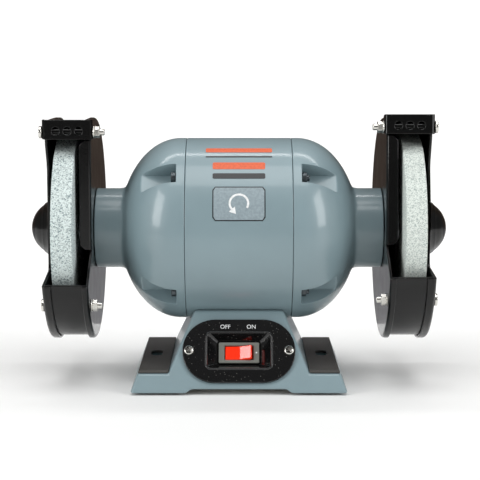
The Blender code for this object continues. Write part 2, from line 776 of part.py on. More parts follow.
def pan_mesh(outline, skirts, face_out, side):
    """An open sheet: a flat face with skirts folded outward or inward from runs of its edge.

    Each skirt gives the indices of its first and last point, and the depth at each point.
    """
    bm = bmesh.new()
    sign = SIDES[side]
    corners = [bm.verts.new((sign * face_out, -ahead, up)) for ahead, up in outline]
    bm.faces.new(corners)
    rims = [bm.edges.get((corners[i], corners[(i + 1) % len(corners)])) for i in range(len(corners))]
    for first, depths in skirts:
        run = [rims[(first + i) % len(rims)] for i in range(len(depths) - 1)]
        spots = {}
        for i, depth in enumerate(depths):
            corner = corners[(first + i) % len(corners)].co
            spots[(round(corner.y, 6), round(corner.z, 6))] = depth
        made = bmesh.ops.extrude_edge_only(bm, edges=run)["geom"]
        for vertex in (item for item in made if isinstance(item, bmesh.types.BMVert)):
            vertex.co.x += sign * spots[(round(vertex.co.y, 6), round(vertex.co.z, 6))]
    return to_mesh(bm, "pan")


def guard_bolt_places():
    """Name to (ahead, up): the two that hold the guard together, and the deflector's pivot."""
    places = {"upper": (PIVOT_AHEAD, PIVOT_UP)}
    for name, degrees in GUARD_BOLT_ANGLES.items():
        angle = math.radians(degrees)
        places[name] = (GUARD_BOLT_CIRCLE * math.cos(angle), GUARD_BOLT_CIRCLE * math.sin(angle))
    return places


def drill_guard(item, side, at):
    """Bolt holes through a side plate."""
    start = GUARD_PLATE_FACE - CUT_OVER
    end = COVER_FACE + CUT_OVER
    for name, (ahead, up) in guard_bolt_places().items():
        tool = place(
            f"hole_{item.name}_{name}",
            prism_mesh(GUARD_BOLT_RADIUS + HOLE_CLEARANCE, start, end, SMALL_STEPS),
            location=(0, -ahead, up),
            rotation=outward(side),
            parent=at,
        )
        cut(item, tool)


def guard_plate(side, at):
    """The inner side plate, next to the motor, with a lip over the band and a flange at the mouth."""
    middle = GUARD_SHEET / 2
    front = GUARD_FRONT - middle
    curve = guard_arc(LIP_RADIUS - middle)
    outline = [(front, LIP_RADIUS - middle)] + curve
    lip_points = len(outline)
    outline += [(front, MOUTH_FLOOR), (front, MOUTH_FLOOR + RETURN_TIP), (front, RETURN_TOP - RETURN_TIP)]
    outline.append((front, RETURN_TOP))
    lip = (0, [PLATE_LIP - middle] * lip_points)
    fold = (lip_points, [RETURN_TIP, RETURN_WIDTH - middle, RETURN_WIDTH - middle, RETURN_TIP])
    mesh = pan_mesh(outline, [lip, fold], GUARD_PLATE_FACE + middle, side)
    plate = place(f"guard_plate_{side}", mesh, "guard", parent=at)
    thicken(plate, GUARD_SHEET)
    drill_guard(plate, side, at)
    start = GUARD_PLATE_FACE - CUT_OVER
    hole = prism_mesh(SHAFT_HOLE_RADIUS, start, start + 3 * CUT_OVER, STEPS)
    cut(plate, place(f"shaft_opening_{side}", hole, parent=at, rotation=outward(side)))


def guard_cover(side, at):
    """The outer side plate: its front edge is cut back beside the wheel, and a dome clears the nut."""
    middle = GUARD_SHEET / 2
    curve = guard_arc(LIP_RADIUS - middle)
    outline = [(GUARD_FRONT - middle, LIP_RADIUS - middle)] + curve
    lip_points = len(outline)
    outline += [(COVER_FRONT, COVER_CUT_BOTTOM), (COVER_FRONT, COVER_CUT_TOP)]
    outline.append((GUARD_FRONT - middle, COVER_CUT_START))
    lip = (0, [middle - COVER_LIP] * lip_points)
    mesh = pan_mesh(outline, [lip], COVER_FACE - middle, side)
    cover = place(f"guard_cover_{side}", mesh, "guard", parent=at)
    thicken(cover, GUARD_SHEET)
    drill_guard(cover, side, at)

    flare = DOME_FLARE_RADIUS
    hole = prism_mesh(flare, COVER_FACE - GUARD_SHEET - CUT_OVER, COVER_FACE + CUT_OVER, STEPS)
    cut(cover, place(f"dome_opening_{side}", hole, parent=at, rotation=outward(side)))
    inner = [(max(radius - GUARD_SHEET, 0.0), out) for radius, out in dome_curve(GUARD_SHEET)]
    outer = dome_curve(0.0)
    face = COVER_FACE
    rim = [(flare + CUT_OVER, face), (flare + CUT_OVER, face - GUARD_SHEET)]
    dome = turned(f"dome_{side}", rim + inner + outer[::-1], STEPS, parent=at, rotation=outward(side))
    join(cover, dome)


def dome_curve(drop):
    """(radius, out) points of the dome from its flared edge to its tip, lowered by drop."""
    face = COVER_FACE - drop
    tip = COVER_FACE + DOME_RISE - drop
    centre = tip - DOME_SPHERE
    edge_out = COVER_FACE + DOME_EDGE_OUT - drop
    edge_radius = math.sqrt(DOME_SPHERE**2 - (edge_out - centre) ** 2)
    elbow = (edge_radius + (DOME_FLARE_RADIUS - edge_radius) * 0.35, face + DOME_EDGE_OUT * 0.25)
    start_angle = math.degrees(math.asin((edge_out - centre) / DOME_SPHERE))
    cap = arc((0.0, centre), DOME_SPHERE, start_angle, 90.0, 15.0)
    cap[-1] = (0.0, tip)
    return [(DOME_FLARE_RADIUS, face), elbow] + cap


def guard_band(side, at):
    """The strip between the side plates, over the top, down the back and under the wheel."""
    middle = GUARD_SHEET / 2
    start = GUARD_PLATE_FACE + GUARD_SHEET + FIT
    end = COVER_FACE - GUARD_SHEET - FIT
    radius = BAND_RADIUS - middle
    path = [(GUARD_FRONT - GUARD_SHEET - FIT, radius)] + guard_arc(radius)
    bm = bmesh.new()
    points = [bm.verts.new((SIDES[side] * start, -ahead, up)) for ahead, up in path]
    edges = [bm.edges.new(pair) for pair in zip(points, points[1:])]
    made = bmesh.ops.extrude_edge_only(bm, edges=edges)["geom"]
    moved = [item for item in made if isinstance(item, bmesh.types.BMVert)]
    bmesh.ops.translate(bm, verts=moved, vec=(SIDES[side] * (end - start), 0, 0))
    band = place(f"guard_band_{side}", to_mesh(bm, "band"), "guard", parent=at)
    thicken(band, GUARD_SHEET)


def guard_bolt(side, name, ahead, up, at):
    """An M5 bolt with its washer and nut: the head is outside the cover, the nut on the motor side."""
    bracket = DEFLECTOR_SHEET + FIT if name == "upper" else 0.0
    head_seat = COVER_FACE + FIT + bracket
    head_end = head_seat + GUARD_BOLT_HEAD_LENGTH
    washer_seat = GUARD_PLATE_FACE - FIT - bracket
    washer_end = washer_seat - WASHER_THICKNESS
    nut_end = washer_end - GUARD_NUT_LENGTH
    tip = nut_end - THREAD_PAST_NUT
    outline = [
        (0.0, head_end),
        (GUARD_BOLT_HEAD_RADIUS * 0.7, head_end),
        (GUARD_BOLT_HEAD_RADIUS, head_seat + GUARD_BOLT_HEAD_LENGTH / 3),
        (GUARD_BOLT_HEAD_RADIUS, head_seat),
        (GUARD_BOLT_RADIUS, head_seat),
        (GUARD_BOLT_RADIUS, washer_seat),
        (WASHER_RADIUS, washer_seat),
        (WASHER_RADIUS, washer_end),
        (GUARD_BOLT_RADIUS, washer_end),
        (GUARD_BOLT_RADIUS, tip),
        (0.0, tip),
    ]
    where = {"location": (0, -ahead, up), "rotation": outward(side), "parent": at}
    bolt = turned(f"guard_bolt_{side}_{name}", outline, SMALL_STEPS, "zinc", **where)
    nut = place(f"guard_nut_{side}_{name}", hexagon_mesh(GUARD_NUT_FLATS, nut_end, washer_end), **where)
    join(bolt, nut)


def deflector(side, at):
    """A bracket folded from sheet, hinged on the upper guard bolt. Its origin is on the pivot."""
    middle = DEFLECTOR_SHEET / 2
    near = GUARD_PLATE_FACE - FIT - middle
    far = COVER_FACE + FIT + middle
    front = DEFLECTOR_FRONT - middle - PIVOT_AHEAD
    back = DEFLECTOR_BACK - PIVOT_AHEAD
    bottom = DEFLECTOR_BOTTOM - PIVOT_UP
    top = DEFLECTOR_TOP - PIVOT_UP
    sign = SIDES[side]
    path = [(near, back), (near, front), (far, front), (far, back)]
    bm = bmesh.new()
    points = [bm.verts.new((sign * out, -ahead, bottom)) for out, ahead in path]
    edges = [bm.edges.new(pair) for pair in zip(points, points[1:])]
    made = bmesh.ops.extrude_edge_only(bm, edges=edges)["geom"]
    moved = [item for item in made if isinstance(item, bmesh.types.BMVert)]
    bmesh.ops.translate(bm, verts=moved, vec=(0, 0, top - bottom))
    pivot = (0, -PIVOT_AHEAD, PIVOT_UP)
    bracket = place(f"spark_deflector_{side}", to_mesh(bm, "bracket"), "guard", parent=at, location=pivot)
    thicken(bracket, DEFLECTOR_SHEET)

    hole = prism_mesh(GUARD_BOLT_RADIUS + HOLE_CLEARANCE, near - CUT_OVER, far + CUT_OVER, SMALL_STEPS)
    cut(bracket, place(f"pivot_hole_{side}", hole, parent=at, location=pivot, rotation=outward(side)))
    middle_out = (GUARD_PLATE_FACE + COVER_FACE) / 2
    for i in (-1, 0, 1):
        out = middle_out + i * DEFLECTOR_HOLE_PITCH
        tool = place(
            f"shield_hole_{side}_{i + 2}",
            prism_mesh(DEFLECTOR_HOLE_RADIUS, -CUT_OVER, CUT_OVER, SMALL_STEPS),
            parent=at,
            location=(sign * out, -DEFLECTOR_FRONT + middle, DEFLECTOR_HOLE_UP),
            rotation=(math.radians(90), 0, 0),
        )
        cut(bracket, tool)


def guard(side):
    turn = (math.radians(GUARD_CLOCK[side]), 0, 0)
    at = frame(f"guard_frame_{side}", SHAFT_AXIS, turn)
    guard_plate(side, at)
    guard_cover(side, at)
    guard_band(side, at)
    for name, (ahead, up) in guard_bolt_places().items():
        guard_bolt(side, name, ahead, up, at)
    deflector(side, at)


# Base

def half_depth(height):
    """How far the base reaches ahead and behind at a height."""
    return BASE_HALF_DEPTH - height * TAN_LEAN


def slope_mesh(outline, inset):
    """The base's front outline, lofted between the leaning front and back."""
    bm = bmesh.new()
    corners = [bm.verts.new((x, 0, z)) for x, z in outline]
    face = bm.faces.new(corners)
    made = bmesh.ops.extrude_face_region(bm, geom=[face])["geom"]
    rear = {item for item in made if isinstance(item, bmesh.types.BMVert)}
    for vertex in bm.verts:
        reach = half_depth(vertex.co.z) - inset / math.cos(math.radians(LEAN))
        vertex.co.y = reach if vertex in rear else -reach
    return to_mesh(bm, "slope")


def mirrored(half):
    """A closed outline from its right half, given from the middle round."""
    return half + [(-x, z) for x, z in reversed(half)]


def foot_half_width(height):
    narrowing = (FOOT_HALF_WIDTH - FOOT_TOP_HALF_WIDTH) / FOOT_TOP
    return FOOT_HALF_WIDTH - narrowing * height


def tower_half_width(height):
    share = (height - FOOT_TOP) / (BASE_TOP - FOOT_TOP)
    return TOWER_FOOT_HALF_WIDTH + (TOWER_TOP_HALF_WIDTH - TOWER_FOOT_HALF_WIDTH) * share


def rubber_places():
    return {
        f"{depth_name}_{side}": (sign * RUBBER_OUT, depth_sign * RUBBER_AHEAD)
        for side, sign in SIDES.items()
        for depth_name, depth_sign in (("front", -1), ("rear", 1))
    }


def slot_tool(name, side, bottom, top):
    slot = plate_mesh(rounded_rectangle(SLOT_WIDTH, SLOT_LENGTH, SLOT_WIDTH / 2, 30.0), top - bottom)
    return place(name, slot, location=(SIDES[side] * SLOT_OUT, 0, (bottom + top) / 2))


def base_cavity():
    """The hollow under the base, less the saddle above it and the posts for the feet."""
    wall = BASE_WALL
    top = BASE_TOP - wall
    outline = mirrored([
        (foot_half_width(BASE_BOTTOM - CUT_OVER) - wall, BASE_BOTTOM - CUT_OVER),
        (foot_half_width(FOOT_TOP - wall) - wall, FOOT_TOP - wall),
        (tower_half_width(FOOT_TOP - wall) - wall, FOOT_TOP - wall),
        (tower_half_width(top) - wall, top),
    ])
    cavity = place("base_cavity", slope_mesh(outline, wall))
    half = TOWER_FOOT_HALF_WIDTH
    under_saddle = SHELL_RADIUS + FIT + SADDLE_WALL
    saddle = prism_mesh(under_saddle, -half, half, FINE_STEPS)
    cut(cavity, place("saddle_back", saddle, location=SHAFT_AXIS, rotation=outward("right")))
    for name, (x, y) in rubber_places().items():
        post = prism_mesh(POST_RADIUS, BOTTOM_PLATE_TOP + FIT, FOOT_TOP, SMALL_STEPS)
        cut(cavity, place(f"post_{name}", post, location=(x, y, 0)))
    return cavity


def base():
    relief = BASE_BOTTOM + RELIEF_HEIGHT
    outline = mirrored([
        (RELIEF_TOP_HALF_WIDTH, relief),
        (RELIEF_FOOT_HALF_WIDTH, BASE_BOTTOM),
        (foot_half_width(BASE_BOTTOM), BASE_BOTTOM),
        (FOOT_TOP_HALF_WIDTH, FOOT_TOP),
        (TOWER_FOOT_HALF_WIDTH, FOOT_TOP),
        (TOWER_TOP_HALF_WIDTH, BASE_TOP),
    ])
    body = place("base", slope_mesh(outline, 0.0), "paint")
    cut(body, base_cavity())
    shell_room = prism_mesh(SHELL_RADIUS + FIT, -FOOT_HALF_WIDTH, FOOT_HALF_WIDTH, FINE_STEPS)
    cut(body, place("shell_room", shell_room, location=SHAFT_AXIS, rotation=outward("right")))
    for tool in saddle_holes("base"):
        cut(body, tool)
    for side in SIDES:
        cut(body, slot_tool(f"base_slot_{side}", side, BOTTOM_PLATE_TOP, FOOT_TOP + CUT_OVER))
    for name, (x, y) in rubber_places().items():
        stem = prism_mesh(RUBBER_STEM_RADIUS + FIT, 0.0, RUBBER_STEM_TOP + FIT, SMALL_STEPS)
        cut(body, place(f"stem_hole_{name}", stem, location=(x, y, 0)))
    well_room = tapered_block_mesh(well_sections(WELL_WALL + WELL_CLEARANCE, CUT_OVER))
    cut(body, place("well_room", well_room, location=panel_centre(), rotation=panel_turn()))
    for side, sign in SIDES.items():
        hole = prism_mesh(PLATE_SCREW_RADIUS + HOLE_CLEARANCE, -2 * BASE_WALL, CUT_OVER, SMALL_STEPS)
        spot = on_panel(sign * PLATE_SCREW_OUT)
        cut(body, place(f"panel_hole_{side}", hole, location=spot, rotation=panel_turn()))
    gland_hole = prism_mesh(GLAND_RADIUS + HOLE_CLEARANCE, -3 * BASE_WALL, CUT_OVER, STEPS)
    cut(body, place("gland_hole", gland_hole, location=gland_centre(), rotation=gland_turn()))


def foot_pad(side):
    """The dark plate on top of a foot, with the slot that a bench bolt goes through."""
    bottom = PAD_TOP - PAD_THICKNESS
    sign = SIDES[side]
    inner_bottom = tower_half_width(bottom) + FIT
    inner_top = tower_half_width(PAD_TOP) + FIT
    if sign > 0:
        outline = [(inner_bottom, bottom), (foot_half_width(bottom), bottom)]
        outline += [(foot_half_width(PAD_TOP), PAD_TOP), (inner_top, PAD_TOP)]
    else:
        outline = [(-foot_half_width(bottom), bottom), (-inner_bottom, bottom)]
        outline += [(-inner_top, PAD_TOP), (-foot_half_width(PAD_TOP), PAD_TOP)]
    pad = place(f"foot_pad_{side}", slope_mesh(outline, 0.0), "dark_pad")
    cut(pad, slot_tool(f"pad_slot_{side}", side, bottom - CUT_OVER, PAD_TOP + CUT_OVER))


def bottom_plate():
    low = BOTTOM_PLATE_UNDERSIDE
    high = BOTTOM_PLATE_TOP
    inset = BASE_WALL + 2 * FIT
    outline = mirrored([(foot_half_width(low) - inset, low), (foot_half_width(high) - inset, high)])
    plate = place("bottom_plate", slope_mesh(outline, inset), "zinc")
    for side in SIDES:
        cut(plate, slot_tool(f"bottom_slot_{side}", side, low - CUT_OVER, high + CUT_OVER))
    for name, (x, y) in rubber_places().items():
        hole = prism_mesh(RUBBER_STEM_RADIUS + FIT, low - CUT_OVER, high + CUT_OVER, SMALL_STEPS)
        cut(plate, place(f"plate_hole_{name}", hole, location=(x, y, 0)))


def rubber_foot(name, x, y):
    collar = BOTTOM_PLATE_UNDERSIDE - FIT
    outline = [
        (0.0, RUBBER_STEM_TOP),
        (RUBBER_STEM_RADIUS, RUBBER_STEM_TOP),
        (RUBBER_STEM_RADIUS, collar),
        (RUBBER_RADIUS, collar),
        (RUBBER_RADIUS, 0.0),
        (0.0, 0.0),
    ]
    turned(f"rubber_foot_{name}", outline, SMALL_STEPS, "rubber", location=(x, y, 0))


def base_bolt(side):
    """An M6 bolt up through the saddle into the motor shell."""
    under = AXIS_HEIGHT - SHELL_RADIUS - SADDLE_WALL - 2 * FIT
    tip = AXIS_HEIGHT - SHELL_RADIUS + SHELL_WALL - FIT
    outline = [
        (0.0, tip),
        (BASE_BOLT_RADIUS, tip),
        (BASE_BOLT_RADIUS, under),
        (BASE_BOLT_HEAD_RADIUS, under),
        (BASE_BOLT_HEAD_RADIUS, under - BASE_BOLT_HEAD_LENGTH),
        (0.0, under - BASE_BOLT_HEAD_LENGTH),
    ]
    spot = (SIDES[side] * BASE_BOLT_OUT, AXIS_Y, 0)
    turned(f"base_bolt_{side}", outline, SMALL_STEPS, "zinc", location=spot)


# Switch on the leaning front panel: X across, Y up the slope and Z out of the panel

def panel_turn():
    return (math.radians(90 - LEAN), 0, 0)


def panel_centre():
    return Vector((0, -half_depth(PANEL_HEIGHT), PANEL_HEIGHT))


def on_panel(across, out=0.0):
    """A point on the panel's middle line, across from its middle and out from its face."""
    lean = math.radians(LEAN)
    return panel_centre() + Vector((across, -out * math.cos(lean), out * math.sin(lean)))


def well_sections(wall, over):
    """The tapered well, thickened by a wall and carried on past both ends by over."""
    taper_width = (WELL_WIDTH - WELL_FLOOR_WIDTH) / 2 / WELL_DEPTH
    taper_height = (WELL_HEIGHT - WELL_FLOOR_HEIGHT) / 2 / WELL_DEPTH
    front = SWITCH_PLATE_THICKNESS + FIT
    bottom = (
        front - WELL_DEPTH - wall - over,
        WELL_FLOOR_WIDTH / 2 + wall,
        WELL_FLOOR_HEIGHT / 2 + wall,
    )
    top = (
        front + over,
        WELL_WIDTH / 2 + wall + taper_width * over,
        WELL_HEIGHT / 2 + wall + taper_height * over,
    )
    return bottom, top


def switch_plate():
    at = {"location": panel_centre(), "rotation": panel_turn()}
    outline = rounded_rectangle(SWITCH_PLATE_WIDTH, SWITCH_PLATE_HEIGHT, SWITCH_PLATE_CORNER)
    seat = FIT + SWITCH_PLATE_THICKNESS / 2
    plate = place(
        "switch_plate",
        plate_mesh(outline, SWITCH_PLATE_THICKNESS),
        "gloss_plastic",
        location=on_panel(0.0, seat),
        rotation=panel_turn(),
    )
    funnel = place("well_funnel", tapered_block_mesh(well_sections(WELL_WALL, 0.0)), **at)
    join(plate, funnel)
    front = well_sections(0.0, CUT_OVER)[1]
    depth = front[0] - CUT_OVER - WELL_DEPTH
    floor = (depth, WELL_FLOOR_WIDTH / 2, WELL_FLOOR_HEIGHT / 2)
    cut(plate, place("well_hollow", tapered_block_mesh((floor, front)), **at))
    width = SWITCH_NECK_WIDTH / 2 + FIT
    height = SWITCH_NECK_HEIGHT / 2 + FIT
    neck = box_mesh((-width, -height, depth - WELL_WALL - CUT_OVER), (width, height, depth + CUT_OVER))
    cut(plate, place("switch_opening", neck, **at))
    for side, sign in SIDES.items():
        hole = prism_mesh(PLATE_SCREW_RADIUS + HOLE_CLEARANCE, -CUT_OVER, 2 * CUT_OVER, SMALL_STEPS)
        spot = on_panel(sign * PLATE_SCREW_OUT)
        cut(plate, place(f"plate_hole_{side}", hole, location=spot, rotation=panel_turn()))


def bezel_front():
    """How far the front of the switch's bezel lies out of the panel: it is negative, in the well."""
    return SWITCH_PLATE_THICKNESS + FIT - WELL_DEPTH + FIT + BEZEL_THICKNESS


def rocker_pivot():
    return bezel_front() - ROCKER_DISH


def switch_body():
    at = {"location": panel_centre(), "rotation": panel_turn()}
    front = bezel_front()
    back = front - BEZEL_THICKNESS
    width = WELL_FLOOR_WIDTH / 2 - FIT
    height = WELL_FLOOR_HEIGHT / 2 - FIT
    bezel = box_mesh((-width, -height, back), (width, height, front))
    body = place("switch_body", bezel, "grey_plastic", **at)
    width = SWITCH_NECK_WIDTH / 2
    height = SWITCH_NECK_HEIGHT / 2
    neck = box_mesh((-width, -height, back - SWITCH_DEPTH), (width, height, back + BEZEL_THICKNESS / 2))
    join(body, place("switch_neck", neck, **at))
    corner = math.hypot(ROCKER_LENGTH / 2, ROCKER_CORNER_RISE)
    width = corner + ROCKER_CLEARANCE
    height = ROCKER_HEIGHT / 2 + ROCKER_CLEARANCE
    room = box_mesh((-width, -height, back - SWITCH_DEPTH + SWITCH_WALL), (width, height, front + CUT_OVER))
    cut(body, place("rocker_room", room, **at))


def rocker():
    """The rocker at rest: its left end is pressed in. Its origin is on its pivot."""
    half = ROCKER_LENGTH / 2
    outline = [
        (-half, ROCKER_CORNER_RISE),
        (0.0, ROCKER_CORNER_RISE - ROCKER_DISH),
        (half, ROCKER_CORNER_RISE),
        (half, 0.0),
        (half / 2, -ROCKER_DROP),
        (-half / 2, -ROCKER_DROP),
        (-half, 0.0),
    ]
    mesh = plate_mesh(outline, ROCKER_HEIGHT)
    stand = Matrix.Rotation(math.radians(90), 4, "X")
    mesh.transform(Matrix.Rotation(math.radians(-ROCKER_TILT), 4, "Y") @ stand)
    pivot = on_panel(0.0, rocker_pivot())
    place("switch_rocker", mesh, "red_plastic", location=pivot, rotation=panel_turn())


def plate_screw(side):
    seat = SWITCH_PLATE_THICKNESS + 2 * FIT
    head_end = seat + PLATE_SCREW_HEAD_LENGTH
    outline = [
        (0.0, head_end),
        (PLATE_SCREW_HEAD_RADIUS * 0.7, head_end),
        (PLATE_SCREW_HEAD_RADIUS, seat + PLATE_SCREW_HEAD_LENGTH / 3),
        (PLATE_SCREW_HEAD_RADIUS, seat),
        (PLATE_SCREW_RADIUS, seat),
        (PLATE_SCREW_RADIUS, seat - PLATE_SCREW_LENGTH),
        (0.0, seat - PLATE_SCREW_LENGTH),
    ]
    spot = on_panel(SIDES[side] * PLATE_SCREW_OUT)
    turned(f"switch_plate_screw_{side}", outline, SMALL_STEPS, "zinc", location=spot, rotation=panel_turn())


# Electrical pieces inside the base

def capacitor():
    centre = Vector((0, -CAPACITOR_AHEAD, CAPACITOR_HEIGHT))
    half = CAPACITOR_HALF_LENGTH
    along = {"location": centre, "rotation": outward("right")}
    place("capacitor", prism_mesh(CAPACITOR_RADIUS, -half, half, STEPS), "can", **along)

    inner = CAPACITOR_RADIUS + FIT
    outer = inner + CLAMP_SHEET
    width = CLAMP_HALF_WIDTH
    strap = turned(
        "capacitor_clamp",
        [(inner, -width), (inner, width), (outer, width), (outer, -width)],
        STEPS,
        "nylon",
        **along,
    )
    depth = CLAMP_POST_HALF_DEPTH
    post_top = -inner - CLAMP_SHEET / 2
    floor = BOTTOM_PLATE_TOP + FIT - CAPACITOR_HEIGHT
    post = box_mesh((-width, -depth, floor), (width, depth, post_top))
    joined = place("clamp_post", post, location=centre)
    trim = place("clamp_bore", prism_mesh(inner, -2 * width, 2 * width, STEPS), **along)
    join(strap, joined)
    cut(strap, trim)


def terminal_block():
    x, ahead = TERMINAL_AT
    width, depth, height = TERMINAL_SIZE
    floor = BOTTOM_PLATE_TOP + FIT
    low = (x - width / 2, -ahead - depth / 2, floor)
    high = (x + width / 2, -ahead + depth / 2, floor + height)
    place("terminal_block", box_mesh(low, high), "nylon")


def gland_turn():
    return (math.radians(LEAN - 90), 0, 0)


def gland_centre():
    return Vector((GLAND_OUT, half_depth(GLAND_HEIGHT), GLAND_HEIGHT))


def cable_gland():
    """The inlet in the back of the base. Its Z axis points out of the leaning back panel."""
    inside = GLAND_FLANGE_THICKNESS + FIT - GLAND_LENGTH
    outline = [
        (GLAND_BORE, GLAND_FLANGE_THICKNESS + FIT),
        (GLAND_FLANGE_RADIUS, GLAND_FLANGE_THICKNESS + FIT),
        (GLAND_FLANGE_RADIUS, FIT),
        (GLAND_RADIUS, FIT),
        (GLAND_RADIUS, inside),
        (GLAND_BORE, inside),
    ]
    turned("cable_gland", outline, STEPS, "rubber", location=gland_centre(), rotation=gland_turn())


# The whole grinder

def build():
    motor_shell()
    stator()
    rotor()
    spring_washer()
    for side in SIDES:
        end_bell(side)
        bearing(side)
        wheel(side)
        guard(side)
    for name, (y, up) in tie_places().items():
        tie_bolt(name, y, up)

    base()
    bottom_plate()
    for side in SIDES:
        foot_pad(side)
        base_bolt(side)
        plate_screw(side)
    for name, (x, y) in rubber_places().items():
        rubber_foot(name, x, y)
    switch_plate()
    switch_body()
    rocker()
    capacitor()
    terminal_block()
    cable_gland()


build()
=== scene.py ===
"""Bench grinder: the finished look of a motor with a wheel at each end on a pedestal base.

Metres, +Z up, front towards -Y, shaft along X. "Out" runs along the shaft away from the middle,
"ahead" runs forward from the shaft's axis, and "up" rises from it.
"""

import json
import math

import bmesh
import bpy
from bpy.props import FloatProperty, FloatVectorProperty, IntProperty, PointerProperty
from mathutils import Matrix, Vector


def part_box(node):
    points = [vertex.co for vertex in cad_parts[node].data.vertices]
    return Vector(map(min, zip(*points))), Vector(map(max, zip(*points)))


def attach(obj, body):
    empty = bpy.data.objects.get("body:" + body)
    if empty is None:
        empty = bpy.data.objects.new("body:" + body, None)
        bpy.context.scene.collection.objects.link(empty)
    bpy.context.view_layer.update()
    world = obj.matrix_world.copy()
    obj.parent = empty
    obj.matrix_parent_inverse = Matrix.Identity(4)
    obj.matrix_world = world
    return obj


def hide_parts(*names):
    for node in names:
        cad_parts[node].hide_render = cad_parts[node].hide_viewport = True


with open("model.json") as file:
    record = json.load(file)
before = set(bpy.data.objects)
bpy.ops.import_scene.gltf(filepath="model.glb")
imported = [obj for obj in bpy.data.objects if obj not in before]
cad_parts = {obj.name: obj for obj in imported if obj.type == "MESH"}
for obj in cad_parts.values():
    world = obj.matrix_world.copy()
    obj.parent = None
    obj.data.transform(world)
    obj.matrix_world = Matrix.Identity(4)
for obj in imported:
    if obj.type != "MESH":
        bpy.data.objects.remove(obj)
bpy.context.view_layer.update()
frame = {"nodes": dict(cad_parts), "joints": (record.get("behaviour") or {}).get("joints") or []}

bl_info = {
    "name": "Bench Grinder",
    "version": (1, 0, 0),
    "blender": (4, 5, 0),
    "location": "View3D > Sidebar > Grinder",
    "description": "Builds a bench grinder with wheels, guards, base and switch",
    "category": "Add Mesh",
}

SIDES = {"left": -1, "right": 1}
FIT = 0.0003                     # gap between pieces that touch
SHEET = 0.0018                   # steel of the guards
JOINTS = {joint["name"]: joint for joint in frame["joints"]}

# Places taken from the frame
SHELL_LOW, SHELL_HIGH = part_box("motor_shell")
AXIS = Vector((0.0, (SHELL_LOW.y + SHELL_HIGH.y) / 2, (SHELL_LOW.z + SHELL_HIGH.z) / 2))
SHELL_RADIUS = (SHELL_HIGH.z - SHELL_LOW.z) / 2
NECK_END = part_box("end_bell_right")[1].x
RIM_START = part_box("end_bell_right")[0].x
PLATE_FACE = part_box("guard_plate_right")[0].x
COVER_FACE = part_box("guard_band_right")[1].x + FIT + SHEET
LIP_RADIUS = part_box("guard_plate_left")[1].z - AXIS.z
WHEEL_LOW, WHEEL_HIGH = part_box("grinding_wheel_right")
WHEEL_RADIUS = (WHEEL_HIGH.z - WHEEL_LOW.z) / 2
BASE_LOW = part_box("base")[0]
PAD_LOW, PAD_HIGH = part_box("foot_pad_right")
LEAN = math.radians(30.0)        # how far the front and back of the base lean in
HALF_DEPTH = -BASE_LOW.y + BASE_LOW.z * math.tan(LEAN)
ROCKER_PIVOT = Vector(JOINTS["rocker_tilt"]["pos_m"])
PANEL_OUT = Vector((0.0, -math.cos(LEAN), math.sin(LEAN)))
PIVOT_SINK = 0.0045              # how far the rocker's pivot lies behind the panel's face
PANEL_TURN = Matrix.Rotation(math.pi / 2 - LEAN, 4, "X")
PANEL = Matrix.Translation(ROCKER_PIVOT + PANEL_OUT * PIVOT_SINK) @ PANEL_TURN


def shaft_place(side):
    """Lays Z along the shaft, outward on that side."""
    return Matrix.Translation(AXIS) @ Matrix.Rotation(math.radians(90) * SIDES[side], 4, "Y")


def pivot_place(side):
    """(ahead, up) of the deflector's pivot."""
    spot = Vector(JOINTS[f"deflector_{side}_tilt"]["pos_m"]) - AXIS
    return Vector((-spot.y, spot.z))


def guard_turn(side):
    """How far that guard is turned about the shaft from the left one."""
    here, left = pivot_place(side), pivot_place("left")
    return math.atan2(here.y, here.x) - math.atan2(left.y, left.x)


def guard_place(side):
    """Takes (out, ahead, up) in the guard to the world."""
    turn = guard_turn(side)
    cos, sin = math.cos(turn), math.sin(turn)
    rows = ((SIDES[side], 0, 0, 0), (0, -cos, sin, 0), (0, sin, cos, 0), (0, 0, 0, 1))
    return Matrix.Translation(AXIS) @ Matrix(rows)


# Sizes and colours that a user would change

def linear(digits):
    """An sRGB colour of six hexadecimal digits as linear red, green and blue."""
    channels = (int(digits[i:i + 2], 16) / 255 for i in (0, 2, 4))
    return tuple(c / 12.92 if c <= 0.04045 else ((c + 0.055) / 1.055) ** 2.4 for c in channels)


def size(name, description, default, **more):
    return FloatProperty(name=name, description=description, default=default, unit="LENGTH", min=0.0, **more)


def colour(name, description, digits):
    return FloatVectorProperty(
        name=name, description=description, default=linear(digits), subtype="COLOR", size=3, min=0.0, max=1.0
    )


class GrinderSizes(bpy.types.PropertyGroup):
    rim_rounding: size("Rim Rounding", "Rounding where the motor shell meets an end bell", 0.0006)
    pocket_width: size("Pocket Width", "Width of the pockets over the tie bolts", 0.0165)
    pocket_floor: size("Pocket Floor", "Distance of a pocket's floor from the shaft's axis", 0.057)
    wheel_rounding: size("Wheel Rounding", "Rounding of a wheel's corners", 0.0007)
    fold_radius: size("Fold Radius", "Radius at the middle of a folded guard's sheet", 0.0019)
    sheet_rounding: size("Sheet Rounding", "Rounding of the cut edges of sheet steel", 0.0004)
    dome_flare: size("Dome Flare", "Radius where a guard's dome starts to rise", 0.034)
    deflector_hole: size("Deflector Hole", "Radius of the holes in a spark deflector", 0.0030)
    deflector_pitch: size("Deflector Pitch", "Distance between the holes in a spark deflector", 0.0088)
    casting_rounding: size("Casting Rounding", "Rounding of the base's outer edges", 0.0020)
    pad_rounding: size("Pad Rounding", "Rounding of the foot pads' edges", 0.0006)
    letter_height: size("Letter Height", "Height of the words on the switch plate", 0.0034)
    balls: IntProperty(name="Balls", description="Balls in each bearing", default=8, min=3)


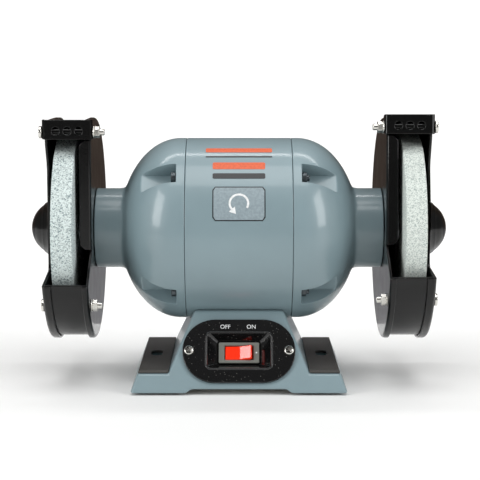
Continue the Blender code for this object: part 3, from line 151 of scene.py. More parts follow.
class GrinderColours(bpy.types.PropertyGroup):
    paint: colour("Paint", "Enamel on the motor housing and the base", "7D9197")
    guard: colour("Guard", "Powder coat on the guards", "050505")
    # the pads' dark grey is painted shade and painted reflection of the feet's tops under the motor
    pad: colour("Foot Pad", "Moulded pads on the feet", "3F3D3A")
    plate: colour("Switch Plate", "Moulded switch plate", "0B0B0C")
    bezel: colour("Bezel", "Switch housing", "6D6F69")
    rocker: colour("Rocker", "Rocker of the switch", "F22A08")
    coarse_stone: colour("Coarse Stone", "Left wheel", "D3DEDC")
    fine_stone: colour("Fine Stone", "Right wheel", "D9E0DA")
    zinc: colour("Zinc", "Plated screws, nuts and washers", "D8D6D0")
    stripe: colour("Stripe", "Stripe of the housing's plain label", "D2582A")


# Meshes

def rounded(points, radius, closed=True, steps=4):
    """An outline with rounded corners. A point's third value, if it has one, is its own radius."""
    made = []
    for i, point in enumerate(points):
        here = Vector(point[:2])
        turn = point[2] if len(point) > 2 else radius
        if turn == 0 or (not closed and i in (0, len(points) - 1)):
            made.append(tuple(here))
            continue
        before = Vector(points[i - 1][:2]) - here
        after = Vector(points[(i + 1) % len(points)][:2]) - here
        reach = min(turn, before.length * 0.45, after.length * 0.45)
        start = here + before.normalized() * reach
        end = here + after.normalized() * reach
        for k in range(steps + 1):
            t = k / steps
            made.append(tuple(start * (1 - t) ** 2 + here * 2 * t * (1 - t) + end * t ** 2))
    return made


def join_rows(bm, rows, closed=False):
    """Faces between rows of corners, which go all the way round if they are closed."""
    for near, far in zip(rows, rows[1:]):
        for i in range(len(near) if closed else len(near) - 1):
            j = (i + 1) % len(near)
            bm.faces.new((near[i], near[j], far[j], far[i]))


def skin(loops, ring=False, capped=True):
    """A surface through loops that all have the same number of points."""
    bm = bmesh.new()
    rows = [[bm.verts.new(point) for point in loop] for loop in loops]
    join_rows(bm, rows + rows[:1] if ring else rows, closed=True)
    if capped and not ring:
        bm.faces.new(rows[0])
        bm.faces.new(rows[-1][::-1])
    return bm


def settled(bm, name, place=Matrix.Identity(4), wall=None):
    """The mesh in its place, with its seams closed, its faces outward and, for a sheet, a wall."""
    bmesh.ops.remove_doubles(bm, verts=bm.verts, dist=0.000002)
    bmesh.ops.transform(bm, matrix=place, verts=bm.verts)
    bmesh.ops.recalc_face_normals(bm, faces=bm.faces)
    mesh = bpy.data.meshes.new(name)
    bm.to_mesh(mesh)
    bm.free()
    return thickened(mesh, wall) if wall else mesh


def circle(radius, height, steps, middle=(0.0, 0.0)):
    turns = [2 * math.pi * i / steps for i in range(steps)]
    return [(middle[0] + radius * math.cos(a), middle[1] + radius * math.sin(a), height) for a in turns]


def turned(name, profile, place, steps=96):
    """Sweeps (radius, height) points about Z. A profile that starts on the axis ends on it too."""
    hollow = profile[0][0] > 0
    return settled(skin([circle(r, h, steps) for r, h in profile], ring=hollow, capped=False), name, place)


def rectangle(width, height, corner, out, steps=6):
    """A loop round a rounded rectangle."""
    points = []
    for quarter, (across, up) in enumerate(((1, 1), (-1, 1), (-1, -1), (1, -1))):
        for k in range(steps + 1):
            angle = math.radians(90 * (quarter + k / steps))
            x = across * (width / 2 - corner) + corner * math.cos(angle)
            y = up * (height / 2 - corner) + corner * math.sin(angle)
            points.append((x, y, out))
    return points


def hexagon(flats, limit, height, steps=48):
    """A loop round a hexagon whose corners are cut back to a radius."""
    points = []
    for i in range(steps):
        angle = 2 * math.pi * i / steps
        edge = flats / 2 / math.cos((angle + math.pi / 6) % (math.pi / 3) - math.pi / 6)
        radius = min(edge, limit)
        points.append((radius * math.cos(angle), radius * math.sin(angle), height))
    return points


def evaluated(item):
    """The item's mesh with its modifiers made real. The item goes."""
    graph = bpy.context.evaluated_depsgraph_get()
    mesh = bpy.data.meshes.new_from_object(item.evaluated_get(graph), depsgraph=graph)
    bpy.data.objects.remove(item, do_unlink=True)
    return mesh


def blank(mesh):
    item = bpy.data.objects.new(mesh.name, mesh)
    bpy.context.scene.collection.objects.link(item)
    return item


def thickened(mesh, wall):
    item = blank(mesh)
    shell = item.modifiers.new("wall", "SOLIDIFY")
    shell.thickness = wall
    shell.offset = 0.0
    shell.use_even_offset = True
    return evaluated(item)


def cut(mesh, tools, rounding=0.0, operation="DIFFERENCE"):
    """The mesh with its edges rounded and the tools then taken out of it."""
    item = blank(mesh)
    if rounding:
        bevel = item.modifiers.new("rounding", "BEVEL")
        bevel.width = rounding
        bevel.segments = 4
        bevel.limit_method = "ANGLE"
        bevel.angle_limit = math.radians(20)
    held = [blank(tool) for tool in tools]
    for tool in held:
        change = item.modifiers.new("cut", "BOOLEAN")
        change.operation = operation
        change.object = tool
        change.solver = "EXACT"
    made = evaluated(item)
    for tool in held:
        bpy.data.objects.remove(tool, do_unlink=True)
    return made


def piece(name, mesh, look, body="root", nodes=(), rounding=0.0, sharp=38.0):
    """Adds a finished piece that rides on a body and stands for CAD nodes."""
    item = bpy.data.objects.new(name, mesh)
    bpy.context.scene.collection.objects.link(item)
    mesh.materials.clear()
    mesh.materials.append(bpy.data.materials[look])
    mesh.shade_smooth()
    mesh.set_sharp_from_angle(angle=math.radians(sharp))
    if rounding:
        bevel = item.modifiers.new("rounding", "BEVEL")
        bevel.width = rounding
        bevel.segments = 2
        bevel.limit_method = "ANGLE"
        bevel.angle_limit = math.radians(50)
        bevel.use_clamp_overlap = False
        bevel.harden_normals = False
    weighted = item.modifiers.new("shading", "WEIGHTED_NORMAL")
    weighted.keep_sharp = True
    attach(item, body)
    if nodes:
        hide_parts(*nodes)
    return item


# Node trees

def add(tree, kind, inputs=None, **settings):
    """Adds a node, sets it up, and gives its inputs values or links them to other nodes' outputs."""
    made = tree.nodes.new(kind)
    for key, value in settings.items():
        setattr(made, key, value)
    for key, value in (inputs or {}).items():
        if isinstance(value, bpy.types.NodeSocket):
            tree.links.new(value, made.inputs[key])
        else:
            made.inputs[key].default_value = value
    return made


def start(name, shade, roughness, metallic=0.0, **sockets):
    """A Principled material: its tree, its shader and its object coordinates."""
    material = bpy.data.materials.new(name)
    material.use_nodes = True
    tree = material.node_tree
    shader = tree.nodes["Principled BSDF"]
    shader.inputs["Base Color"].default_value = (*shade, 1.0)
    shader.inputs["Roughness"].default_value = roughness
    shader.inputs["Metallic"].default_value = metallic
    for key, value in sockets.items():
        shader.inputs[key.replace("_", " ")].default_value = value
    where = add(tree, "ShaderNodeTexCoord").outputs["Object"]
    return tree, shader, where


def scaled(shade, share):
    return tuple(min(1.0, c * share) for c in shade)


def noise(tree, where, scale, detail=2.0):
    return add(tree, "ShaderNodeTexNoise", {"Vector": where, "Scale": scale, "Detail": detail}).outputs["Fac"]


def toned(tree, shader, share, *stops):
    """Takes the base colour from a ramp of stops, each a place and a linear colour."""
    tone = add(tree, "ShaderNodeValToRGB", {"Fac": share})
    marks = tone.color_ramp.elements
    while len(marks) < len(stops):
        marks.new(0.5)
    for mark, (spot, shade) in zip(marks, stops):
        mark.position = spot
        mark.color = (*shade, 1.0)
    tree.links.new(tone.outputs["Color"], shader.inputs["Base Color"])


def glossed(tree, shader, share, low, high):
    """Lets the roughness vary between two values."""
    gloss = add(tree, "ShaderNodeMapRange", {"Value": share, "To Min": low, "To Max": high})
    tree.links.new(gloss.outputs["Result"], shader.inputs["Roughness"])


def bumped(tree, shader, height, strength, distance, *more):
    """Raises the surface by a height. More names further normals that follow it."""
    bump = add(tree, "ShaderNodeBump", {"Height": height, "Strength": strength, "Distance": distance})
    for name in ("Normal", *more):
        tree.links.new(bump.outputs["Normal"], shader.inputs[name])


def paint_finish(shade):
    """Enamel sprayed on cast aluminium: a clear gloss over the faint unevenness of the casting."""
    tree, shader, where = start(
        "sprayed_enamel_on_casting", shade, 0.40, Coat_Weight=0.45, Coat_Roughness=0.12
    )
    broad = noise(tree, where, 18.0, 3.0)
    toned(tree, shader, broad, (0.30, scaled(shade, 0.95)), (0.70, scaled(shade, 1.05)))
    glossed(tree, shader, broad, 0.36, 0.45)
    # orange peel of the paint, about 1.2 mm from crest to crest
    bumped(tree, shader, noise(tree, where, 850.0), 0.10, 0.0002)


def guard_finish(shade):
    """Black powder coat baked on sheet steel: deep gloss that ripples slightly and stays dark on edge."""
    looks = {"Specular_IOR_Level": 0.08, "Coat_Weight": 0.6, "Coat_Roughness": 0.07}
    tree, shader, where = start("black_powder_coat_on_steel", shade, 0.30, **looks)
    glossed(tree, shader, noise(tree, where, 45.0, 4.0), 0.24, 0.40)
    # ripple of the powder coat, about 2.5 mm from crest to crest
    bumped(tree, shader, noise(tree, where, 400.0, 1.0), 0.10, 0.0002, "Coat Normal")


def pad_finish(shade):
    """Dark grey, satin, with a fine spark-eroded grain: the dark grey is painted shade and painted reflection
    of the feet's tops under the motor.
    """
    tree, shader, where = start("grained_moulded_polypropylene", shade, 0.48)
    # grain cells of 0.5 mm
    grain = add(tree, "ShaderNodeTexVoronoi", {"Vector": where, "Scale": 2000.0}).outputs["Distance"]
    toned(tree, shader, grain, (0.0, scaled(shade, 1.15)), (0.8, scaled(shade, 0.85)))
    bumped(tree, shader, grain, 0.2, 0.0002)


def plate_finish(shade):
    """Polished moulded ABS that has gathered a little dust: mirror gloss with pale specks."""
    tree, shader, where = start("polished_moulded_abs", shade, 0.10, Coat_Weight=0.3, Coat_Roughness=0.04)
    # specks of dust, about 0.5 mm across, each in a cell of 2.4 mm
    specks = add(tree, "ShaderNodeTexVoronoi", {"Vector": where, "Scale": 420.0}).outputs["Distance"]
    toned(tree, shader, specks, (0.09, linear("64635F")), (0.15, shade))
    glossed(tree, shader, noise(tree, where, 60.0, 5.0), 0.07, 0.18)


def bezel_finish(shade):
    """Moulded polycarbonate, lightly textured."""
    tree, shader, where = start("textured_moulded_polycarbonate", shade, 0.38)
    bumped(tree, shader, noise(tree, where, 1500.0, 1.0), 0.15, 0.0001)


def rocker_finish(shade):
    """Clear tinted polycarbonate, polished: saturated red that lets light in, with a faint painted glow that
    brightens it.
    """
    looks = {"Coat_Weight": 0.5, "Coat_Roughness": 0.05, "Subsurface_Weight": 0.25}
    tree, shader, where = start("tinted_polished_polycarbonate", shade, 0.14, **looks)
    shader.inputs["Subsurface Radius"].default_value = (0.004, 0.001, 0.0005)
    # painted glow: a faint emission that brightens the red of the rocker
    shader.inputs["Emission Color"].default_value = (*linear("FF3A12"), 1.0)
    shader.inputs["Emission Strength"].default_value = 0.22
    flow = noise(tree, where, 160.0)
    toned(tree, shader, flow, (0.3, scaled(shade, 0.9)), (0.7, scaled(shade, 1.1)))


def stone_finish(name, shade, speck, grit, relief):
    """Vitrified abrasive: matt pale bond with grey grains and pores."""
    tree, shader, where = start(name, shade, 0.92)
    grains = add(tree, "ShaderNodeTexVoronoi", {"Vector": where, "Scale": 1.0 / grit})
    chance = add(tree, "ShaderNodeSeparateColor", {"Color": grains.outputs["Color"]}).outputs["Red"]
    bond = ((0.40, scaled(shade, 0.84)), (0.65, shade), (1.0, scaled(shade, 1.08)))
    toned(tree, shader, chance, (0.0, speck), *bond)
    bumped(tree, shader, chance, 0.5, relief)


def zinc_finish(shade):
    """Bright zinc plate on rolled steel: light, slightly clouded metal."""
    tree, shader, where = start("bright_zinc_plate", shade, 0.24, 1.0)
    cloud = noise(tree, where, 350.0, 3.0)
    glossed(tree, shader, cloud, 0.16, 0.34)
    bumped(tree, shader, cloud, 0.1, 0.0001)


def ringed_metal(name, shade, roughness, pitch, strength):
    """Metal turned or stacked along the shaft: fine rings at a pitch along X."""
    tree, shader, where = start(name, shade, roughness, 1.0)
    rings = add(tree, "ShaderNodeTexWave", {"Vector": where, "Scale": 0.05 / pitch, "Distortion": 0.4})
    glossed(tree, shader, noise(tree, where, 90.0, 3.0), roughness * 0.8, roughness * 1.3)
    bumped(tree, shader, rings.outputs["Fac"], strength, 0.0001)


def grained(name, shade, roughness, metallic, scale, strength):
    """A cast, drawn or moulded surface whose grain shows as small bumps and a change of tone."""
    tree, shader, where = start(name, shade, roughness, metallic)
    grain = noise(tree, where, scale, 4.0)
    toned(tree, shader, grain, (0.35, scaled(shade, 0.88)), (0.65, scaled(shade, 1.08)))
    bumped(tree, shader, grain, strength, 0.0002)


def make_materials():
    shades = bpy.context.scene.grinder_colours
    paint_finish(tuple(shades.paint))
    guard_finish(tuple(shades.guard))
    pad_finish(tuple(shades.pad))
    plate_finish(tuple(shades.plate))
    bezel_finish(tuple(shades.bezel))
    rocker_finish(tuple(shades.rocker))
    # grit 36 is 0.5 mm and grit 60 is 0.25 mm, and they are drawn as cells of 0.8 mm and 0.6 mm to show
    stone_finish("coarse_vitrified_stone", tuple(shades.coarse_stone), linear("74868A"), 0.0008, 0.0003)
    stone_finish("fine_vitrified_stone", tuple(shades.fine_stone), linear("95A3A0"), 0.0006, 0.0002)
    zinc_finish(tuple(shades.zinc))
    ringed_metal("turned_steel", linear("A9ABAD"), 0.28, 0.0006, 0.15)
    ringed_metal("stacked_laminations", linear("6F7072"), 0.50, 0.0010, 0.60)
    ringed_metal("wound_enamelled_copper", linear("A5582A"), 0.32, 0.0016, 0.90)
    # dark grey metal for the tie bolts, darkened further as painted shade of the pockets they sit in
    grained("oil_blackened_steel", linear("565C5F"), 0.38, 1.0, 300.0, 0.10)
    grained("cast_aluminium", linear("B4B6B8"), 0.45, 1.0, 700.0, 0.35)
    grained("drawn_aluminium_can", linear("C4C6C8"), 0.30, 1.0, 250.0, 0.10)
    grained("moulded_nylon", linear("D9D8D0"), 0.55, 0.0, 500.0, 0.15)
    grained("moulded_rubber", linear("1B1B1B"), 0.80, 0.0, 900.0, 0.30)
    grained("printed_orange_vinyl", tuple(shades.stripe), 0.40, 0.0, 600.0, 0.05)
    grained("printed_white_vinyl", linear("E6E8E8"), 0.40, 0.0, 600.0, 0.05)
    grained("printed_grey_vinyl", linear("8C9AA0"), 0.40, 0.0, 600.0, 0.05)
    grained("printed_black_vinyl", linear("1C1D1F"), 0.42, 0.0, 600.0, 0.05)
    for node, look in INSIDE_LOOKS.items():
        slots = frame["nodes"][node].data.materials
        slots.clear()
        slots.append(bpy.data.materials[look])


INSIDE_LOOKS = {
    "stator_core": "stacked_laminations",
    "stator_winding_left": "wound_enamelled_copper",
    "stator_winding_right": "wound_enamelled_copper",
    "rotor_core": "cast_aluminium",
    "bearing_outer_ring_left": "turned_steel",
    "bearing_outer_ring_right": "turned_steel",
    "bearing_inner_ring_left": "turned_steel",
    "bearing_inner_ring_right": "turned_steel",
    "spring_washer": "turned_steel",
    "capacitor": "drawn_aluminium_can",
    "capacitor_clamp": "moulded_nylon",
    "terminal_block": "moulded_nylon",
    "bottom_plate": "bright_zinc_plate",
}


# Motor housing

BELL_STRAIGHT_END = 0.046        # where a bell starts to curve in
BELL_DEPTH = 0.049               # length of the curve if it ran on to the axis
BELL_WALL = 0.004
NECK_RADIUS = 0.0315
NECK_FILLET = 0.004
POCKET_START = 0.0477            # where a pocket's end wall starts to drop
POCKET_END = 0.0489
POCKET_LINING = 0.0025
TIE_ANGLE = 42.5                 # degrees above and below the horizontal
SEAT_RADIUS = 0.0175             # bearing seat
SEAT_START = 0.0965
SEAT_END = 0.1087
SHAFT_HOLE = 0.0085


def ease(low, high, value):
    t = min(1.0, max(0.0, (value - low) / (high - low)))
    return t * t * (3 - 2 * t)


def bell_outside():
    """(radius, out) from the rim, over the bell and along the neck, to the shaft hole."""
    sizes = bpy.context.scene.grinder_sizes
    edge = sizes.rim_rounding
    rows = [(SHELL_RADIUS - edge, RIM_START), (SHELL_RADIUS - edge * 0.3, RIM_START + edge * 0.3)]
    rows.append((SHELL_RADIUS, RIM_START + edge))
    outs = [0.044, 0.046, 0.047, 0.0474, 0.0477, 0.0479, 0.0481, 0.0483]
    outs += [0.0485, 0.0487, 0.0489, 0.0492, 0.050]
    for out in outs:
        share = max(0.0, out - BELL_STRAIGHT_END) / BELL_DEPTH
        rows.append((SHELL_RADIUS * math.sqrt(1 - share ** 2), out))
    first = math.asin((outs[-1] - BELL_STRAIGHT_END) / BELL_DEPTH)
    last = math.acos((NECK_RADIUS + NECK_FILLET) / SHELL_RADIUS)
    for i in range(1, 41):
        angle = first + (last - first) * i / 40
        rows.append((SHELL_RADIUS * math.cos(angle), BELL_STRAIGHT_END + BELL_DEPTH * math.sin(angle)))
    radius, out = rows[-1]
    bend = [(radius, out), (NECK_RADIUS + 0.0006, out + 0.0018, 0.005), (NECK_RADIUS, out + 0.006)]
    rows += rounded(bend, 0.005, closed=False, steps=6)[1:]
    neck = [(NECK_RADIUS, out + 0.006), (NECK_RADIUS, NECK_END), (SHAFT_HOLE, NECK_END)]
    rows += rounded(neck, 0.0008, closed=False)[1:]
    return rows


def bell_inside():
    """(radius, out) from the bearing seat back to the rim."""
    rows = [(SHAFT_HOLE, SEAT_END), (SEAT_RADIUS, SEAT_END), (SEAT_RADIUS, SEAT_START)]
    rows.append((NECK_RADIUS - BELL_WALL, SEAT_START))
    radius = SHELL_RADIUS - BELL_WALL
    depth = BELL_DEPTH - BELL_WALL
    last = math.acos((NECK_RADIUS - BELL_WALL + NECK_FILLET) / radius)
    for i in range(16, -1, -1):
        angle = last * i / 16
        rows.append((radius * math.cos(angle), BELL_STRAIGHT_END + depth * math.sin(angle)))
    rows.append((radius, RIM_START))
    return rows


def pocket_columns(radius):
    """(pocket angle, angle from it) round the bell, close together at the pockets' edges."""
    steps = (0.0, 2.0, 4.0, 5.5, 6.6, 7.2, 7.5, 7.8, 8.05, 8.3, 8.55, 8.8, 9.1, 9.8, 11.0, 12.5)
    reaches = [-step / 1000 for step in reversed(steps)] + [step / 1000 for step in steps[1:]]
    columns = []
    for quarter in range(4):
        middle = TIE_ANGLE if quarter % 2 == 0 else 90 - TIE_ANGLE
        centre = math.radians(90 * quarter + middle)
        below = -math.radians(middle)
        above = math.radians(90 - middle)
        near = [math.asin(reach / max(radius, 0.040)) for reach in reaches]
        columns += [(centre, below + (near[0] - below) * i / 9) for i in range(9)]
        columns += [(centre, angle) for angle in near]
        columns += [(centre, near[-1] + (above - near[-1]) * i / 9) for i in range(1, 9)]
    return columns


def bell_loop(radius, out, floor, half_width, drop):
    """A loop round the bell, sunk to the pockets' flat floors by a share from 0 to 1."""
    points = []
    for centre, angle in pocket_columns(radius):
        along = radius * math.cos(angle)
        aside = radius * math.sin(angle)
        inside = 1 - ease(half_width - 0.00045, half_width + 0.00045, abs(aside))
        along -= max(0.0, along - floor) * inside * drop
        ahead = along * math.cos(centre) - aside * math.sin(centre)
        up = along * math.sin(centre) + aside * math.cos(centre)
        points.append((out, -ahead, up))
    return points


def make_end_bell(side):
    sizes = bpy.context.scene.grinder_sizes
    half = sizes.pocket_width / 2
    loops = []
    for radius, out in bell_outside():
        loops.append(bell_loop(radius, out, sizes.pocket_floor, half, ease(POCKET_START, POCKET_END, out)))
    for radius, out in bell_inside():
        loops.append(bell_loop(radius, out, sizes.pocket_floor - POCKET_LINING, half + POCKET_LINING, 1.0))
    place = Matrix.Translation(AXIS) @ Matrix.Diagonal((SIDES[side], 1, 1, 1))
    mesh = settled(skin(loops, ring=True), f"end_bell_{side}", place)
    node = f"end_bell_{side}"
    piece(f"cast_{node}", mesh, "sprayed_enamel_on_casting", nodes=[node], sharp=60.0)


def make_motor_shell():
    edge = bpy.context.scene.grinder_sizes.rim_rounding
    inner = SHELL_RADIUS - BELL_WALL
    half = SHELL_HIGH.x
    corners = [(inner, -half, 0), (inner, half, 0), (SHELL_RADIUS, half), (SHELL_RADIUS, -half)]
    mesh = turned("motor_shell", rounded(corners, edge), shaft_place("right"), 192)
    piece("sleeve_of_motor", mesh, "sprayed_enamel_on_casting", nodes=["motor_shell"])


# A plain label on the motor shell: stripes, bars and a panel with an arrow for the way it turns

PRINT = 0.00008                  # thickness of the printed film
ON_PAINT = 0.00012               # how far a patch on the paint stands off it
ON_PATCH = 0.00026               # how far a patch on another one stands off the paint
ARROW_LIFT = 0.00040
LABEL_PATCHES = (                # name, low and high edge, half width, corner, lift, finish, columns
    ("label_stripe", 0.0755, 0.0815, 0.0255, 0.0008, ON_PAINT, "printed_orange_vinyl", 8),
    ("label_line", 0.0690, 0.0705, 0.0255, 0.0003, ON_PAINT, "printed_black_vinyl", 8),
    ("label_bar", 0.0560, 0.0630, 0.0200, 0.0010, ON_PAINT, "printed_orange_vinyl", 8),
    ("label_under_bar", 0.0470, 0.0520, 0.0200, 0.0010, ON_PAINT, "printed_black_vinyl", 8),
    ("label_panel_edge", 0.0130, 0.0400, 0.0200, 0.0020, ON_PAINT, "printed_black_vinyl", 12),
    ("label_panel", 0.0138, 0.0392, 0.0192, 0.0015, ON_PATCH, "printed_grey_vinyl", 12),
)

def on_shell(across, height, lift):
    """A point on the motor shell: height is measured round it, up from the front."""
    angle = height / SHELL_RADIUS
    radius = SHELL_RADIUS + lift
    return Vector((across, AXIS.y - radius * math.cos(angle), AXIS.z + radius * math.sin(angle)))


def wrapped(name, rows, lift, look, columns):
    """A thin printed patch. Each row gives its height and its left and right edges."""
    bm = bmesh.new()
    grid = []
    for height, left, right in rows:
        spots = [left + (right - left) * i / columns for i in range(columns + 1)]
        grid.append([bm.verts.new(on_shell(x, height, lift)) for x in spots])
    join_rows(bm, grid)
    piece(name, settled(bm, name, wall=PRINT), look)


def band_rows(low, high, half, corner, steps=10):
    """Rows of a rounded patch from low to high."""
    rows = []
    for i in range(steps + 1):
        height = low + (high - low) * i / steps
        nearest = min(height - low, high - height)
        short = corner - math.sqrt(max(0.0, corner ** 2 - max(0.0, corner - nearest) ** 2))
        rows.append((height, -half + short, half - short))
    return rows


def make_label():
    for name, low, high, half, corner, lift, look, columns in LABEL_PATCHES:
        wrapped(name, band_rows(low, high, half, corner), lift, look, columns)
    make_turn_arrow()


def make_turn_arrow():
    """An arc with an arrowhead, printed in the middle of the label's plain panel."""
    bm = bmesh.new()
    centre = Vector((0.0, 0.0265))
    inner, outer, reach, length = 0.0062, 0.0078, 0.0030, 0.0048
    rows = []
    for i in range(19):
        angle = math.radians(-30 + 250 * i / 18)
        aside = Vector((math.cos(angle), math.sin(angle)))
        spots = [centre + aside * radius for radius in (inner, outer)]
        rows.append([bm.verts.new(on_shell(spot.x, spot.y, ARROW_LIFT)) for spot in spots])
    join_rows(bm, rows)
    along = Vector((-aside.y, aside.x))
    root = centre + aside * (inner + outer) / 2
    tips = (root + aside * reach, root + along * length, root - aside * reach)
    bm.faces.new([bm.verts.new(on_shell(tip.x, tip.y, ARROW_LIFT)) for tip in tips])
    piece("label_turn_arrow", settled(bm, "label_turn_arrow", wall=PRINT), "printed_white_vinyl")


# Shaft, wheels and what clamps them

FLANGE_RADIUS = 0.025
FLANGE_FACE = 0.021              # radius where a flange's rim begins
FLANGE_DISH = 0.0012
WHEEL_BORE = 0.00665
NUT_FLATS = 0.019
NUT_CHAMFER = 0.0009


def make_shaft():
    body, journal, thread = 0.0085, 0.0075, 0.00635
    shoulder, end = 0.1192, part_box("shaft")[1].x
    half = [(body, 0.0, 0), (body, 0.0961, 0), (journal, 0.0966, 0), (journal, shoulder)]
    half += [(thread, shoulder, 0), (thread, end), (0.0, end)]
    right = rounded(half, 0.0008, closed=False)
    left = [(radius, -out) for radius, out in reversed(right)]
    mesh = turned("shaft", left[:-1] + right[1:], shaft_place("right"), 48)
    piece("ground_shaft", mesh, "turned_steel", "rotor", ["shaft"])


def make_wheel(side):
    inner, outer = WHEEL_LOW.x, WHEEL_HIGH.x
    corners = [(WHEEL_BORE, inner, 0), (WHEEL_BORE, outer, 0), (WHEEL_RADIUS, outer), (WHEEL_RADIUS, inner)]
    profile = rounded(corners, bpy.context.scene.grinder_sizes.wheel_rounding)
    node = f"grinding_wheel_{side}"
    mesh = turned(node, profile, shaft_place(side), 256)
    kind = "coarse" if side == "left" else "fine"
    piece(f"{kind}_stone_{side}", mesh, f"{kind}_vitrified_stone", "rotor", [node])


def make_flanges(side):
    low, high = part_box("inner_flange_right")
    inner = [(WHEEL_BORE, low.x), (FLANGE_FACE, low.x), (FLANGE_RADIUS, (low.x + high.x) / 2)]
    inner += [(FLANGE_RADIUS, high.x), (FLANGE_FACE, high.x)]
    inner += [(FLANGE_FACE, high.x - FLANGE_DISH), (WHEEL_BORE, high.x - FLANGE_DISH)]
    low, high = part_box("outer_flange_right")
    outer = [(WHEEL_BORE, low.x + FLANGE_DISH), (FLANGE_FACE, low.x + FLANGE_DISH)]
    outer += [(FLANGE_FACE, low.x), (FLANGE_RADIUS, low.x)]
    outer += [(FLANGE_RADIUS, (low.x + high.x) / 2), (FLANGE_FACE, high.x), (WHEEL_BORE, high.x)]
    for name, profile in (("inner_flange", inner), ("outer_flange", outer)):
        mesh = turned(name, rounded(profile, 0.0004), shaft_place(side))
        node = f"{name}_{side}"
        piece(f"pressed_{node}", mesh, "turned_steel", "rotor", [node])


def make_spindle_nut(side):
    low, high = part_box("spindle_nut_right")
    corner = NUT_FLATS / math.sqrt(3)
    loops = [
        circle(WHEEL_BORE, low.x, 48),
        hexagon(NUT_FLATS, NUT_FLATS / 2, low.x),
        hexagon(NUT_FLATS, corner, low.x + NUT_CHAMFER),
        hexagon(NUT_FLATS, corner, high.x - NUT_CHAMFER),
        hexagon(NUT_FLATS, NUT_FLATS / 2, high.x),
        circle(WHEEL_BORE, high.x, 48),
    ]
    mesh = settled(skin(loops, ring=True), "spindle_nut", shaft_place(side))
    node = f"spindle_nut_{side}"
    piece(f"hexagon_{node}", mesh, "bright_zinc_plate", "rotor", [node], sharp=25)


def new_tree(name, floats, *more):
    """A tree of geometry nodes with its sockets, and what it is given."""
    tree = bpy.data.node_groups.new(name, "GeometryNodeTree")
    sockets = [("Geometry", "Geometry"), *((size_name, "Float") for size_name in floats), *more]
    for label, kind in (*sockets, ("Metal", "Material")):
        tree.interface.new_socket(label, in_out="INPUT", socket_type=f"NodeSocket{kind}")
    tree.interface.new_socket("Geometry", in_out="OUTPUT", socket_type="NodeSocketGeometry")
    return tree, add(tree, "NodeGroupInput").outputs


def finish_tree(tree, geometry, metal):
    """Makes the tree's copies real and gives them their metal."""
    real = add(tree, "GeometryNodeRealizeInstances", {"Geometry": geometry}).outputs["Geometry"]
    coated = add(tree, "GeometryNodeSetMaterial", {"Geometry": real, "Material": metal})
    add(tree, "NodeGroupOutput", {"Geometry": coated.outputs["Geometry"]})


def ball_tree():
    """Balls on a circle about X with a ribbon cage between them."""
    tree, given = new_tree("ball_race", ("Pitch Radius", "Ball Radius", "Cage Wall"), ("Balls", "Int"))
    pitch = given["Pitch Radius"]
    places = add(tree, "GeometryNodeMeshCircle", {"Vertices": given["Balls"], "Radius": pitch})
    shape = {"Segments": 20, "Rings": 12, "Radius": given["Ball Radius"]}
    ball = add(tree, "GeometryNodeMeshUVSphere", shape)
    copies = {"Points": places.outputs["Mesh"], "Instance": ball.outputs["Mesh"]}
    balls = add(tree, "GeometryNodeInstanceOnPoints", copies)
    path = add(tree, "GeometryNodeCurvePrimitiveCircle", {"Resolution": 64, "Radius": pitch})
    ribbon = add(tree, "GeometryNodeCurvePrimitiveCircle", {"Resolution": 8, "Radius": given["Cage Wall"]})
    sweep = {"Curve": path.outputs["Curve"], "Profile Curve": ribbon.outputs["Curve"]}
    cage = add(tree, "GeometryNodeCurveToMesh", sweep)
    both = add(tree, "GeometryNodeJoinGeometry")
    tree.links.new(balls.outputs["Instances"], both.inputs["Geometry"])
    tree.links.new(cage.outputs["Mesh"], both.inputs["Geometry"])
    turn = {"Geometry": both.outputs["Geometry"], "Rotation": (0, math.pi / 2, 0)}
    turned_to_x = add(tree, "GeometryNodeTransform", turn)
    finish_tree(tree, turned_to_x.outputs["Geometry"], given["Metal"])
    return tree


def run_tree(tree, mesh, values):
    """The mesh that a tree makes from another, with the tree's inputs set by their names' identifiers."""
    item = blank(mesh)
    nodes = item.modifiers.new("build", "NODES")
    nodes.node_group = tree
    for socket in tree.interface.items_tree:
        if socket.in_out == "INPUT" and socket.name in values:
            nodes[socket.identifier] = values[socket.name]
    return evaluated(item)


def make_bearing_balls(side):
    low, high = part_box(f"ball_cage_{side}")
    centre = (low + high) / 2
    values = {
        "Pitch Radius": 0.0125,
        "Ball Radius": 0.0026,
        "Cage Wall": 0.0010,
        "Balls": bpy.context.scene.grinder_sizes.balls,
        "Metal": bpy.data.materials["turned_steel"],
    }
    tree = bpy.data.node_groups.get("ball_race") or ball_tree()
    mesh = run_tree(tree, bpy.data.meshes.new(f"balls_{side}"), values)
    mesh.transform(Matrix.Translation(centre))
    node = f"ball_cage_{side}"
    piece(f"balls_and_cage_{side}", mesh, "turned_steel", node, [node])


# Guards, in (out, ahead, up)

GUARD_FRONT = 0.0480
COVER_FRONT = 0.0360
MOUTH_FLOOR = -0.0120
RETURN_TOP = 0.0720
RETURN_WIDTH = 0.0090
PLATE_LIP = 0.0050
COVER_LIP = 0.0068
ARC_END = -24.5                  # degrees: where the guard stops below the mouth
SHAFT_OPENING = 0.0120
BOLT_HOLE = 0.0028


def guard_outline(radius, front):
    """(ahead, up) from the flat top's front, round the back and the bottom, to below the mouth."""
    points = [(front, radius), (front * 0.66, radius), (front * 0.33, radius)]
    count = 88
    for i in range(count + 1):
        angle = math.radians(90.0 + (270.0 + ARC_END) * i / count)
        points.append((radius * math.cos(angle), radius * math.sin(angle)))
    return points


